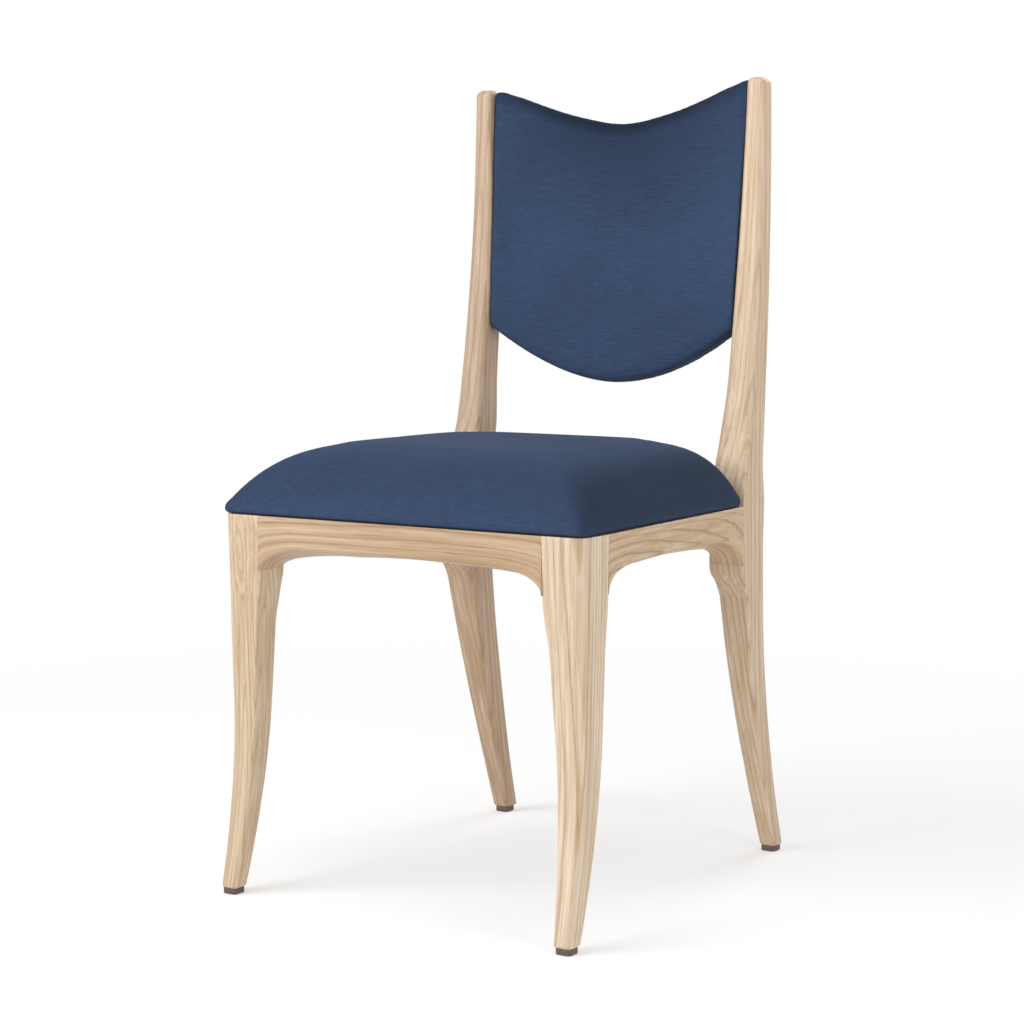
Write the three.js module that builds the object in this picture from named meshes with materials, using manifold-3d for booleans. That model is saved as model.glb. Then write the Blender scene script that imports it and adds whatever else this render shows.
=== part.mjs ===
// Upholstered klismos dining chair in natural ash with navy linen.
// Millimetres, +Z up. The sitter looks along -Y, and the sitter's left hand is at +X.
// The origin is on the floor, midway between the four feet.

import * as THREE from 'three';
import { mergeVertices } from 'three/addons/utils/BufferGeometryUtils.js';
import Module from 'manifold-3d';

const wasm = await Module();
wasm.setup();

// Driving dimensions of the whole chair

const overallHeight = 912;
const overallDepth = 529;
const frontOuterWidth = 468.2;
const rearOuterWidth = 425.6;
const railTop = 424.5;
const fitGap = 0.3;
const cutOverrun = 20;
const weldDistance = 0.001;

// Feet and glides

const footWidth = 22.5;
const footChamfer = 1.2;
const glideHeight = 7.5;
const glideWidth = 18.6;
const glideCorner = 4.2;
const glideTaper = 0.8;
const nailDiameter = 3.2;
const nailLength = 19;
const nailFloor = 3;
const nailFacets = 8;

// Front legs: a square section that grows from the foot to the seat, swept forward like a sabre

const frontLegWidth = 50;
const frontFlare = 30.4;
const frontKneeHeight = 209;
const frontFlarePower = 1.8;
const frontFootLean = 3.8;

// Rear legs: one piece from foot to top, swept back below the seat and leaning back above it

const rearSweep = 91.7;
const rearSweepPower = 1.55;
const rearKneeHeight = 415;
const rearWidthAtSeat = 46.8;
const rearDepthAtSeat = 54;
const rearFootInset = 10.5;
const postLean = 48.3;
const postTopWidth = 22;
const postTopInset = 13.6;
const postTopRound = 8.5;
const tipDrawShare = 0.9;
const tipSteps = 3;

// Shares from foot to seat: height, inset left, growth in width, growth in depth
const lowerLegShares = [
  [0.0, 1.0, 0.0, 0.0],
  [0.12, 0.985, 0.1, 0.08],
  [0.22, 0.94, 0.2, 0.155],
  [0.4, 0.775, 0.41, 0.316],
  [0.58, 0.52, 0.61, 0.472],
  [0.76, 0.157, 0.833, 0.645],
  [0.88, 0.02, 0.93, 0.79],
];

// Shares from seat to top: height, backward lean, inward lean, width left, depth left
const upperPostShares = [
  [0.0, 0.0, 0.0, 1.0, 1.0],
  [0.08, 0.17, 0.25, 0.9, 0.78],
  [0.164, 0.39, 0.48, 0.766, 0.594],
  [0.277, 0.557, 0.6, 0.569, 0.44],
  [0.4415, 0.75, 0.735, 0.444, 0.344],
  [0.667, 0.925, 0.885, 0.255, 0.197],
  [0.893, 0.995, 0.963, 0.077, 0.06],
  [1.0, 1.0, 1.0, 0.0, 0.0],
];

// Rounded edges of the legs, and the eased edge where a rail's face runs flush into a leg
const legCornerShare = 0.17;
const easedEdge = 0.6;
const legCornerSteps = 3;
const frontSweepLevels = 8;
const frontStraightLevels = 3;
const frontFlowLevels = 6;
const rearSweepLevels = 10;
const rearFlowLevels = 5;
const postLevels = 8;
const panelLevels = 7;
const frontHiddenCorner = 13;
const rearHiddenCorner = 15;
const hiddenCornerFade = 12;
const frontFlowLength = 62;
const rearFlowLength = 42;

// Seat rails: arched below, each end reaching down along its leg as an ear

const frontRailThickness = 44;
const sideRailThickness = 40;
const rearRailThickness = 24;
const rearRailSetback = 15;
const railArchHeight = 34.5;
const railEdgeRound = 6;
const railEarTip = 0.8;
const frontEarDrop = 61;
const rearEarDrop = 68;
const frontEarRun = 67;
const rearEarRun = 66;
const shoulderDrop = 1.7;
const earBendShare = 0.55;
const archShare = 0.55;
const archSteps = 8;
const edgeRoundSteps = 2;

// Mortise and tenon joints

const tenonThickness = 10;
const tenonLength = 20;
const tenonHeight = 24;
const tenonTopSetback = 6;
const tenonRoot = 8;

// Corner blocks and their screws

const blockReach = 46;
const blockHeight = 27;
const blockTopSetback = 3;
const screwDiameter = 4;
const screwHeadDiameter = 8;
const screwHeadHeight = 3;
const screwTipLength = 4;
const blockScrewLength = 34;
const blockScrewStandoff = 17;
const blockScrewOffset = 24;
const seatScrewOffset = 7.5;
const seatScrewLength = 34;
const seatScrewSetIn = 5;
const screwFacets = 8;

// Seat: a plywood board with a moulded foam pad under one linen cover

const clothThickness = 1.4;
const seatBoardThickness = 9;
const seatBoardInset = 5;
const seatOverhang = 0.4;
const seatCornerRadius = 18;
const seatRearCornerRadius = 16;
const seatCrownRise = 84.5;
const seatEdgeRise = 11;
const seatSideDraw = 3.2;
const seatSideBulge = 1;
const seatSideShares = [0.25, 0.75];
const seatCrownForward = 25;
const seatMargin = 32;
const seatDomePower = 3.2;
const seatDomeRoundness = 0.47;
const seatSofteningPower = 9;
const seatSoftSquareness = 4.6;
const seatRingShares = [1, 0.985, 0.95, 0.88, 0.76, 0.6, 0.4, 0.18];
const dustClothThickness = 0.8;
const dustClothGap = 1;
const postNotchGap = 1.2;
const seatCornerSteps = 3;
const seatFrontSteps = 5;
const seatSideSteps = 6;
const seatNotchSteps = 2;
const seatBackSteps = 3;

// Back panel: a shield between the uprights, hollowed for the sitter's back

const panelSideBottom = 625;
const panelSideTop = 910;
const panelTopDip = 46.5;
const panelBottomDrop = 66.5;
const panelBottomPower = 1.85;
const panelSideGap = 0.8;
const panelFrontSetback = 20.8;
const panelLean = 24.6;
const panelHollow = 15;
const panelBottomThickness = 27;
const panelTopThickness = 16;
const panelBoardThickness = 9;
const panelBoardInset = 6;
const panelBottomRound = 11;
const panelTopRound = 5;
const panelSideRound = 3;
const panelMargin = 14;
const panelBackInset = 4;
const panelColumns = 12;
const panelRows = 5;
const panelFlatRows = 4;
const roundStepShares = [0, 0.12, 0.45, 1];
const dowelDiameter = 6;
const dowelLength = 32;
const dowelFacets = 10;
const dowelHeightShares = [0.16, 0.7];
const dowelEndShare = 0.95;

// Shares of the panel's half width and of its top dip, from the middle to the side
const panelTopShares = [
  [0, 0], [0.12, 0.035], [0.255, 0.135], [0.452, 0.32], [0.643, 0.56], [0.81, 0.8], [0.93, 0.965], [1, 1],
];

// Places worked out from the driving dimensions

const frontFootY = -overallDepth / 2 + footWidth / 2;
const rearFootY = overallDepth / 2 - footWidth / 2;
const frontLegY = frontFootY + frontFlare;
const rearLegY = rearFootY - rearSweep;
const frontFaceY = frontLegY - frontLegWidth / 2;
const frontJointY = frontLegY + frontLegWidth / 2;
const rearJointY = rearLegY - rearDepthAtSeat / 2;
const rearRailFaceY = rearLegY + rearDepthAtSeat / 2 - rearRailSetback;
const toeSlope = (frontOuterWidth - rearOuterWidth) / 2 / (rearJointY - frontJointY);
const toeAngle = Math.atan(toeSlope);
const frontLegOuterX = frontOuterWidth / 2;
const frontJointX = frontLegOuterX - frontLegWidth;
const rearLegOuterX = rearOuterWidth / 2;
const rearJointX = rearLegOuterX - rearWidthAtSeat;
const frontEarBottom = railTop - frontEarDrop;
const rearEarBottom = railTop - rearEarDrop;
const postRise = overallHeight - railTop;
const seatBottom = railTop + fitGap;
const boardBottom = seatBottom + clothThickness + fitGap;
const seatCrown = railTop + seatCrownRise;
const panelHeight = panelSideTop - panelSideBottom;
const panelFrontY = rearLegY + panelFrontSetback;

// The outer faces of the seat frame: straight beside the front legs, then toed in along the side rails
function outerLineX(y) {
  return frontOuterWidth / 2 - toeSlope * Math.max(0, y - frontJointY);
}

// Numbers and curves

function mix(a, b, share) {
  return a + (b - a) * share;
}

function clampShare(value) {
  return Math.min(1, Math.max(0, value));
}

function smooth(value) {
  const t = clampShare(value);
  return t * t * (3 - 2 * t);
}

// A smooth curve through knots [at, value] that takes each knot's slope from its neighbours
function curveThrough(knots, at) {
  const last = knots.length - 1;
  if (at <= knots[0][0]) return knots[0][1];
  if (at >= knots[last][0]) return knots[last][1];
  const next = knots.findIndex((knot) => knot[0] > at);
  const slope = (k) => {
    const before = knots[Math.max(0, k - 1)];
    const after = knots[Math.min(last, k + 1)];
    return (after[1] - before[1]) / (after[0] - before[0]);
  };
  const [fromAt, from] = knots[next - 1];
  const [toAt, to] = knots[next];
  const span = toAt - fromAt;
  const t = (at - fromAt) / span;
  const lead = t * (1 - t) * (1 - t) * slope(next - 1) * span;
  const trail = t * t * (1 - t) * slope(next) * span;
  return mix(from, to, smooth(t)) + lead - trail;
}

// Solids and skins

function closedGeometry(points, faces) {
  const geometry = new THREE.BufferGeometry();
  geometry.setAttribute('position', new THREE.Float32BufferAttribute(points.flatMap((p) => p.toArray()), 3));
  geometry.setIndex(faces);
  return geometry;
}

// A skin over rings of points that run anticlockwise seen from the last ring, with both ends capped
function loft(rings) {
  const count = rings[0].length;
  const points = rings.flat();
  const faces = [];
  for (let r = 0; r < rings.length - 1; r += 1) {
    for (let i = 0; i < count; i += 1) {
      const a = r * count + i;
      const b = r * count + (i + 1) % count;
      faces.push(a, b, b + count, a, b + count, a + count);
    }
  }
  const start = points.push(middleOf(rings[0])) - 1;
  const end = points.push(middleOf(rings[rings.length - 1])) - 1;
  const top = (rings.length - 1) * count;
  for (let i = 0; i < count; i += 1) {
    const j = (i + 1) % count;
    faces.push(start, j, i, end, top + i, top + j);
  }
  return closedGeometry(points, faces);
}

function middleOf(ring) {
  return ring.reduce((sum, p) => sum.add(p), new THREE.Vector3()).divideScalar(ring.length);
}

// Only positions are kept, and points that coincide become one
function welded(geometry) {
  const bare = geometry.clone();
  bare.deleteAttribute('normal');
  bare.deleteAttribute('uv');
  return mergeVertices(bare, weldDistance);
}

function toSolid(geometry) {
  const merged = welded(geometry);
  const vertProperties = Float32Array.from(merged.attributes.position.array);
  const triVerts = Uint32Array.from(merged.index.array);
  return new wasm.Manifold(new wasm.Mesh({ numProp: 3, vertProperties, triVerts }));
}

function toGeometry(solid) {
  const mesh = solid.getMesh();
  const geometry = new THREE.BufferGeometry();
  geometry.setAttribute('position', new THREE.Float32BufferAttribute(mesh.vertProperties, 3));
  geometry.setIndex(Array.from(mesh.triVerts));
  return geometry;
}

function cutAway(geometry, ...cutters) {
  return toGeometry(cutters.reduce((solid, cutter) => solid.subtract(toSolid(cutter)), toSolid(geometry)));
}

// The image on the chair's other side, with its faces turned to point outwards again
function mirrored(geometry) {
  const copy = welded(geometry);
  copy.scale(-1, 1, 1);
  const index = Array.from(copy.index.array);
  for (let i = 0; i < index.length; i += 3) [index[i], index[i + 1]] = [index[i + 1], index[i]];
  copy.setIndex(index);
  return copy;
}

// A prism that stands on a plan outline
function planPrism(outline, low, high) {
  const shape = new THREE.Shape(outline.map(([x, y]) => new THREE.Vector2(x, y)));
  return new THREE.ExtrudeGeometry(shape, { depth: high - low, bevelEnabled: false }).translate(0, 0, low);
}

// A round bar from one point towards another
function bar(from, to, radius, facets) {
  const along = to.clone().sub(from);
  const cylinder = new THREE.CylinderGeometry(radius, radius, along.length(), facets);
  const turn = new THREE.Quaternion().setFromUnitVectors(new THREE.Vector3(0, 1, 0), along.normalize());
  const centre = from.clone().add(to).multiplyScalar(0.5);
  return cylinder.applyQuaternion(turn).translate(centre.x, centre.y, centre.z);
}

// Leg sections

// One level section, its four corners rounded on their own
function legSection(faces, radii, z) {
  const corners = [
    { x: faces.inner, y: faces.front, inX: 1, inY: 1, start: Math.PI, radius: radii.innerFront },
    { x: faces.outer, y: faces.front, inX: -1, inY: 1, start: -Math.PI / 2, radius: radii.outerFront },
    { x: faces.outer, y: faces.back, inX: -1, inY: -1, start: 0, radius: radii.outerBack },
    { x: faces.inner, y: faces.back, inX: 1, inY: -1, start: Math.PI / 2, radius: radii.innerBack },
  ];
  const ring = [];
  for (const corner of corners) {
    for (let k = 0; k <= legCornerSteps; k += 1) {
      const angle = corner.start + (k / legCornerSteps) * (Math.PI / 2);
      const x = corner.x + corner.inX * corner.radius + corner.radius * Math.cos(angle);
      const y = corner.y + corner.inY * corner.radius + corner.radius * Math.sin(angle);
      ring.push(new THREE.Vector3(x, y, z));
    }
  }
  return ring;
}

// How far a leg's face has moved from its own taper to the joint with a rail's ear
function flowInto(z, earBottom, flowLength) {
  return Math.pow(clampShare((z - earBottom + flowLength) / flowLength), 2);
}

function frontLegFaces(z) {
  const growth = (z - glideHeight) / (railTop - glideHeight);
  const width = mix(footWidth, frontLegWidth, growth);
  const rise = clampShare((z - glideHeight) / (frontKneeHeight - glideHeight));
  const y = frontLegY - frontFlare * Math.pow(1 - rise, frontFlarePower);
  const outer = frontLegOuterX - frontFootLean * (1 - growth);
  const flow = flowInto(z, frontEarBottom, frontFlowLength);
  return {
    outer,
    inner: mix(outer - width, frontJointX, flow),
    front: y - width / 2,
    back: mix(y + width / 2, frontJointY, flow),
  };
}

function rearKnots() {
  const lower = lowerLegShares.map(([height, inset, width, depth]) => {
    const z = mix(glideHeight, railTop, height);
    const rise = clampShare((z - glideHeight) / (rearKneeHeight - glideHeight));
    return {
      z,
      y: rearLegY + rearSweep * Math.pow(1 - rise, rearSweepPower),
      outer: rearLegOuterX - rearFootInset * inset,
      width: mix(footWidth, rearWidthAtSeat, width),
      depth: mix(footWidth, rearDepthAtSeat, depth),
    };
  });
  const upper = upperPostShares.map(([height, back, inward, width, depth]) => ({
    z: railTop + postRise * height,
    y: rearLegY + postLean * back,
    outer: rearLegOuterX - postTopInset * inward,
    width: mix(postTopWidth, rearWidthAtSeat, width),
    depth: mix(postTopWidth, rearDepthAtSeat, depth),
  }));
  return [...lower, ...upper];
}

const rearLegKnots = rearKnots();

function rearValue(name, z) {
  return curveThrough(rearLegKnots.map((knot) => [knot.z, knot[name]]), z);
}

function rearLegFaces(z) {
  const y = rearValue('y', z);
  const depth = rearValue('depth', z);
  const outer = rearValue('outer', z);
  const flow = z > railTop ? 0 : flowInto(z, rearEarBottom, rearFlowLength);
  return {
    outer,
    inner: mix(outer - rearValue('width', z), rearJointX, flow),
    front: mix(y - depth / 2, rearJointY, flow),
    back: y + depth / 2,
  };
}

// Corner radii fade to an eased edge where a rail's face runs flush into the leg, and open out at the
// corner that is hidden inside the seat frame
function cornerRadii(faces, z, earBottom, flowLength, hiddenRadius) {
  const full = legCornerShare * (faces.outer - faces.inner);
  if (z > railTop) {
    const fade = smooth((z - railTop) / hiddenCornerFade);
    return { full, flush: full, hidden: mix(hiddenRadius, full, fade) };
  }
  const flush = smooth(1 + 2 * (z - earBottom) / flowLength);
  const hidden = flowInto(z, earBottom + flowLength / 2, 2 * flowLength);
  return { full, flush: mix(full, easedEdge, flush), hidden: mix(full, hiddenRadius, hidden) };
}

function frontLegSection(z) {
  const faces = frontLegFaces(z);
  const { full, flush, hidden } = cornerRadii(faces, z, frontEarBottom, frontFlowLength, frontHiddenCorner);
  return legSection(faces, { innerFront: flush, outerFront: full, outerBack: flush, innerBack: hidden }, z);
}

function rearLegSection(z) {
  const faces = rearLegFaces(z);
  const { full, flush, hidden } = cornerRadii(faces, z, rearEarBottom, rearFlowLength, rearHiddenCorner);
  return legSection(faces, { innerFront: hidden, outerFront: flush, outerBack: full, innerBack: flush }, z);
}

// The section at one level, drawn in evenly and moved to another level
function drawnIn(ring, amount, z) {
  const centre = middleOf(ring);
  const reach = Math.max(...ring.map((p) => Math.hypot(p.x - centre.x, p.y - centre.y)));
  const left = 1 - amount / reach;
  return ring.map((p) => new THREE.Vector3(mix(centre.x, p.x, left), mix(centre.y, p.y, left), z));
}

function levelsBetween(low, high, count) {
  return Array.from({ length: count }, (_, i) => mix(low, high, i / count));
}

// A leg's rings: a chamfered foot, then its sections level by level
function legRings(section, levels) {
  const foot = drawnIn(section(glideHeight), footChamfer, glideHeight);
  return [foot, ...levels.map(section)];
}

const frontLevels = [
  ...levelsBetween(glideHeight + footChamfer, frontKneeHeight, frontSweepLevels),
  ...levelsBetween(frontKneeHeight, frontEarBottom - frontFlowLength, frontStraightLevels),
  ...levelsBetween(frontEarBottom - frontFlowLength, frontEarBottom, frontFlowLevels),
  frontEarBottom,
  railTop,
];

const tipStart = overallHeight - postTopRound;
const rearLevels = [
  ...levelsBetween(glideHeight + footChamfer, rearEarBottom - rearFlowLength, rearSweepLevels),
  ...levelsBetween(rearEarBottom - rearFlowLength, rearEarBottom, rearFlowLevels),
  rearEarBottom,
  railTop,
  ...levelsBetween(railTop + hiddenCornerFade, panelSideBottom, postLevels),
  ...levelsBetween(panelSideBottom, tipStart, panelLevels),
];

// Rails

// A rail's side view, with room beyond its ends and top for trimming: s runs along the outer face
function railProfile(length, start, end) {
  const arch = railTop - railArchHeight;
  const shoulder = arch - shoulderDrop;
  const middle = (start.run + length - end.run) / 2;
  const startTip = railTop - start.drop;
  const endTip = railTop - end.drop;
  const startX = railEarTip;
  const endX = length - railEarTip;
  const startShoulderX = start.run;
  const endShoulderX = length - end.run;
  const shape = new THREE.Shape();
  shape.moveTo(-cutOverrun, railTop + cutOverrun);
  shape.lineTo(-cutOverrun, startTip);
  shape.lineTo(startX, startTip);
  shape.bezierCurveTo(
    startX, mix(startTip, shoulder, earBendShare),
    mix(startShoulderX, startX, earBendShare), shoulder,
    startShoulderX, shoulder,
  );
  shape.quadraticCurveTo(mix(startShoulderX, middle, archShare), arch, middle, arch);
  shape.quadraticCurveTo(mix(endShoulderX, middle, archShare), arch, endShoulderX, shoulder);
  shape.bezierCurveTo(
    mix(endShoulderX, endX, earBendShare), shoulder,
    endX, mix(endTip, shoulder, earBendShare),
    endX, endTip,
  );
  shape.lineTo(length + cutOverrun, endTip);
  shape.lineTo(length + cutOverrun, railTop + cutOverrun);
  shape.closePath();
  return shape;
}

// The profile through the rail's thickness, its lower edges rounded over
function railBlank({ length, thickness }, start, end) {
  const geometry = new THREE.ExtrudeGeometry(railProfile(length, start, end), {
    depth: thickness - 2 * railEdgeRound,
    curveSegments: archSteps,
    bevelEnabled: true,
    bevelThickness: railEdgeRound,
    bevelSize: railEdgeRound,
    bevelOffset: -railEdgeRound,
    bevelSegments: edgeRoundSteps,
  });
  return geometry.translate(0, 0, railEdgeRound);
}

// A tenon in the middle of the rail's thickness, or with a gap round it the mortise that takes it
function tenonAt({ thickness }, [from, to], gap) {
  const top = railTop - tenonTopSetback;
  const box = new THREE.BoxGeometry(to - from + 2 * gap, tenonHeight + 2 * gap, tenonThickness + 2 * gap);
  return box.translate((from + to) / 2, top - tenonHeight / 2, thickness / 2);
}

// Turns a rail's own axes into the chair's: along its outer face, up, and inward from that face
function placed(geometry, origin, along) {
  const up = new THREE.Vector3(0, 0, 1);
  const inward = along.clone().cross(up);
  const matrix = new THREE.Matrix4().makeBasis(along, up, inward).setPosition(origin);
  return geometry.applyMatrix4(matrix);
}

// A whole rail: its blank cut to the plan between its legs, with a tenon at each end
function railWith(axes, outline, start, end) {
  const place = (geometry) => toSolid(placed(geometry, axes.origin, axes.along));
  const blank = place(railBlank(axes, start, end));
  const between = toSolid(planPrism(outline, 0, railTop));
  const tenons = tenonSpans(axes).map((span) => place(tenonAt(axes, span, 0)));
  return toGeometry(tenons.reduce((rail, tenon) => rail.add(tenon), blank.intersect(between)));
}

function tenonSpans({ length }) {
  return [[-tenonLength, tenonRoot], [length - tenonRoot, length + tenonLength]];
}

function mortises(axes) {
  return tenonSpans(axes).map((span) => placed(tenonAt(axes, span, fitGap), axes.origin, axes.along));
}

const frontRailAxes = {
  origin: new THREE.Vector3(frontJointX, frontFaceY, 0),
  along: new THREE.Vector3(-1, 0, 0),
  length: 2 * frontJointX,
  thickness: frontRailThickness,
};
const rearRailAxes = {
  origin: new THREE.Vector3(-rearJointX, rearRailFaceY, 0),
  along: new THREE.Vector3(1, 0, 0),
  length: 2 * rearJointX,
  thickness: rearRailThickness,
};
const sideRailAxes = {
  origin: new THREE.Vector3(outerLineX(rearJointY), rearJointY, 0),
  along: new THREE.Vector3(Math.sin(toeAngle), -Math.cos(toeAngle), 0),
  length: (rearJointY - frontJointY) / Math.cos(toeAngle),
  thickness: sideRailThickness,
};
const frontEar = { run: frontEarRun, drop: frontEarDrop };
const rearEar = { run: rearEarRun, drop: rearEarDrop };

// A rectangle in plan, with a gap to the legs at either end
function betweenLegs(jointX, lowY, highY) {
  const edge = jointX - fitGap;
  return [[-edge, lowY], [edge, lowY], [edge, highY], [-edge, highY]];
}

function makeFrontRail() {
  const outline = betweenLegs(frontJointX, frontFaceY - fitGap, frontFaceY + frontRailThickness + fitGap);
  return railWith(frontRailAxes, outline, frontEar, frontEar);
}

function makeRearRail() {
  const outline = betweenLegs(rearJointX, rearRailFaceY - rearRailThickness - fitGap, rearRailFaceY + fitGap);
  return railWith(rearRailAxes, outline, rearEar, rearEar);
}

function makeSideRail() {
  const outline = [
    [0, frontJointY + fitGap],
    [frontOuterWidth, frontJointY + fitGap],
    [frontOuterWidth, rearJointY - fitGap],
    [0, rearJointY - fitGap],
  ];
  return railWith(sideRailAxes, outline, rearEar, frontEar);
}

// Corner blocks, with the same plan at each corner: a mitred block notched round its leg

function sideInnerX(y) {
  return outerLineX(y) - sideRailThickness / Math.cos(toeAngle);
}

// ahead is 1 at the front corners and -1 at the rear: the way from the cross rail into the seat
const frontCorner = {
  legX: frontJointX, legY: frontJointY, railY: frontFaceY + frontRailThickness, ahead: 1,
};
const rearCorner = {
  legX: rearJointX, legY: rearJointY, railY: rearRailFaceY - rearRailThickness, ahead: -1,
};

function blockOutline({ legX, legY, railY, ahead }) {
  const farY = legY + ahead * blockReach;
  const nearY = legY + ahead * fitGap;
  const railSideY = railY + ahead * fitGap;
  const railSide = (y) => sideInnerX(y) - fitGap;
  const outline = [
    [legX - blockReach, railSideY],
    [legX - fitGap, railSideY],
    [legX - fitGap, nearY],
    [railSide(nearY), nearY],
    [railSide(farY), farY],
  ];
  return ahead > 0 ? outline : outline.reverse();
}

const blockTop = railTop - blockTopSetback;
const blockBottom = blockTop - blockHeight;
const blockMiddle = (blockTop + blockBottom) / 2;

// A countersunk wood screw along +Y from the top of its head, turned to its axis; a gap makes its hole
function screw(head, direction, length, gap) {
  const radius = screwDiameter / 2 + gap;
  const headRadius = screwHeadDiameter / 2 + gap;
  const profile = [
    [0, -gap],
    [headRadius, -gap],
    [headRadius, fitGap],
    [radius, screwHeadHeight],
    [radius, length - screwTipLength + gap],
    [0, length + gap],
  ];
  const lathe = new THREE.LatheGeometry(profile.map(([x, y]) => new THREE.Vector2(x, y)), screwFacets);
  const turn = new THREE.Quaternion().setFromUnitVectors(new THREE.Vector3(0, 1, 0), direction);
  return welded(lathe).applyQuaternion(turn).translate(head.x, head.y, head.z);
}

// Each corner's three screws: into the cross rail, into the side rail, and up into the seat board
function cornerScrews({ legX, legY, railY, ahead }) {
  const sideY = legY + ahead * blockScrewOffset;
  return {
    cross: {
      head: new THREE.Vector3(legX - blockScrewOffset, railY + ahead * blockScrewStandoff, blockMiddle),
      direction: new THREE.Vector3(0, -ahead, 0),
      length: blockScrewLength,
    },
    side: {
      head: new THREE.Vector3(sideInnerX(sideY) - blockScrewStandoff, sideY, blockMiddle),
      direction: new THREE.Vector3(1, 0, 0),
      length: blockScrewLength,
    },
    seat: {
      head: new THREE.Vector3(
        legX - seatScrewOffset, legY + ahead * seatScrewOffset, blockBottom + seatScrewSetIn,
      ),
      direction: new THREE.Vector3(0, 0, 1),
      length: seatScrewLength,
    },
  };
}

function screwBody({ head, direction, length }) {
  return screw(head, direction, length, 0);
}

function screwHole({ head, direction, length }) {
  return screw(head, direction, length, fitGap);
}

// The wide bore that lets a set-in head through from outside its block
function headBore({ head, direction }) {
  const outside = head.clone().addScaledVector(direction, -cutOverrun);
  return bar(outside, head, screwHeadDiameter / 2 + 2 * fitGap, screwFacets);
}

function makeBlock(corner) {
  const block = planPrism(blockOutline(corner), blockBottom, blockTop);
  const screws = Object.values(cornerScrews(corner));
  return cutAway(block, ...screws.map(screwHole), ...screws.map(headBore));
}

// Glides and their nails

const frontFoot = footCentre(frontLegSection(glideHeight));
const rearFoot = footCentre(rearLegSection(glideHeight));

function footCentre(ring) {
  return middleOf(ring).setZ(0);
}

function roundedSquare(width, radius) {
  const half = width / 2;
  const ring = [];
  for (let quarter = 0; quarter < 4; quarter += 1) {
    const start = quarter * (Math.PI / 2);
    const turn = new THREE.Vector2(half - radius, half - radius).rotateAround(new THREE.Vector2(), start);
    for (let k = 0; k <= legCornerSteps; k += 1) {
      const angle = start + (k / legCornerSteps) * (Math.PI / 2);
      ring.push(new THREE.Vector3(turn.x + radius * Math.cos(angle), turn.y + radius * Math.sin(angle), 0));
    }
  }
  return ring;
}

function nailAt(foot, gap) {
  const from = foot.clone().setZ(nailFloor - gap);
  const to = foot.clone().setZ(nailFloor + nailLength + gap);
  return bar(from, to, nailDiameter / 2 + gap, nailFacets);
}

function makeGlide(foot) {
  const base = roundedSquare(glideWidth, glideCorner);
  const rings = [
    drawnIn(base, 2 * glideTaper, 0),
    drawnIn(base, glideTaper, glideTaper),
    drawnIn(base, 0, glideHeight - fitGap),
  ];
  return cutAway(loft(rings).translate(foot.x, foot.y, 0), nailAt(foot, fitGap));
}

// Panel surfaces: how far across, as a share of the half width, and how high give each face's depth

function panelDepthAt(z) {
  return panelFrontY + panelLean * (z - panelSideBottom) / panelHeight;
}

function panelFront(share, z) {
  return panelDepthAt(z) + panelHollow * (1 - share * share);
}

function panelBack(share, z) {
  const climb = (z - panelSideBottom) / panelHeight;
  return panelFront(share, z) + mix(panelBottomThickness, panelTopThickness, climb);
}

function panelTopEdge(share) {
  return panelSideTop - panelTopDip * (1 - curveThrough(panelTopShares, Math.abs(share)));
}

function panelBottomEdge(share) {
  return panelSideBottom - panelBottomDrop * (1 - Math.pow(Math.abs(share), panelBottomPower));
}

// The panel's half width between the posts' inner faces
function panelHalfWidth(z) {
  return rearLegFaces(z).inner - panelSideGap;
}

// Steps across a span, with close ones that follow a rounded edge at either end
function stepsWithRounds(span, startRound, endRound, count) {
  const inner = span - startRound - endRound;
  const middle = Array.from({ length: count - 1 }, (_, i) => startRound + inner * (i + 1) / count);
  const starts = startRound > 0 ? roundStepShares.map((share) => share * startRound) : [0];
  const ends = endRound > 0 ? roundStepShares.map((share) => span - share * endRound).reverse() : [span];
  return [...starts, ...middle, ...ends];
}

// How far a rounded edge falls back at a distance from its border
function fallBack(distance, radius) {
  if (distance >= radius) return 0;
  return radius - Math.sqrt(radius * radius - (radius - distance) * (radius - distance));
}

// A closed body between two faces of the panel. inset draws its outline in, front and back give the
// faces' depths, and edges are the front face's rounded edges
function panelBody({ inset, front, back, edges }) {
  const sideShare = edges.side / rearJointX;
  const grid = (face, padded) => stepsWithRounds(2, sideShare, sideShare, panelColumns).map((across) => {
    const share = across - 1;
    const low = panelBottomEdge(share) + inset;
    const high = panelTopEdge(share) - inset;
    return stepsWithRounds(high - low, edges.bottom, edges.top, edges.rows).map((up) => {
      const z = low + up;
      const halfWidth = panelHalfWidth(z);
      const x = share * (halfWidth - inset);
      const fall = padded ? Math.max(
        fallBack(up, edges.bottom),
        fallBack(high - z, edges.top),
        fallBack(halfWidth - inset - Math.abs(x), edges.side),
      ) : 0;
      return new THREE.Vector3(x, face(x / halfWidth, z) + fall, z);
    });
  });
  return pillow(grid(front, edges.rounded), grid(back, false));
}

// Padded layers have rounded edges and flat ones don't, but both step across at the same places
const paddedEdges = {
  rounded: true, bottom: panelBottomRound, top: panelTopRound, side: panelSideRound, rows: panelRows,
};
const flatEdges = { rounded: false, bottom: 0, top: 0, side: panelSideRound, rows: panelFlatRows };

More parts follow.
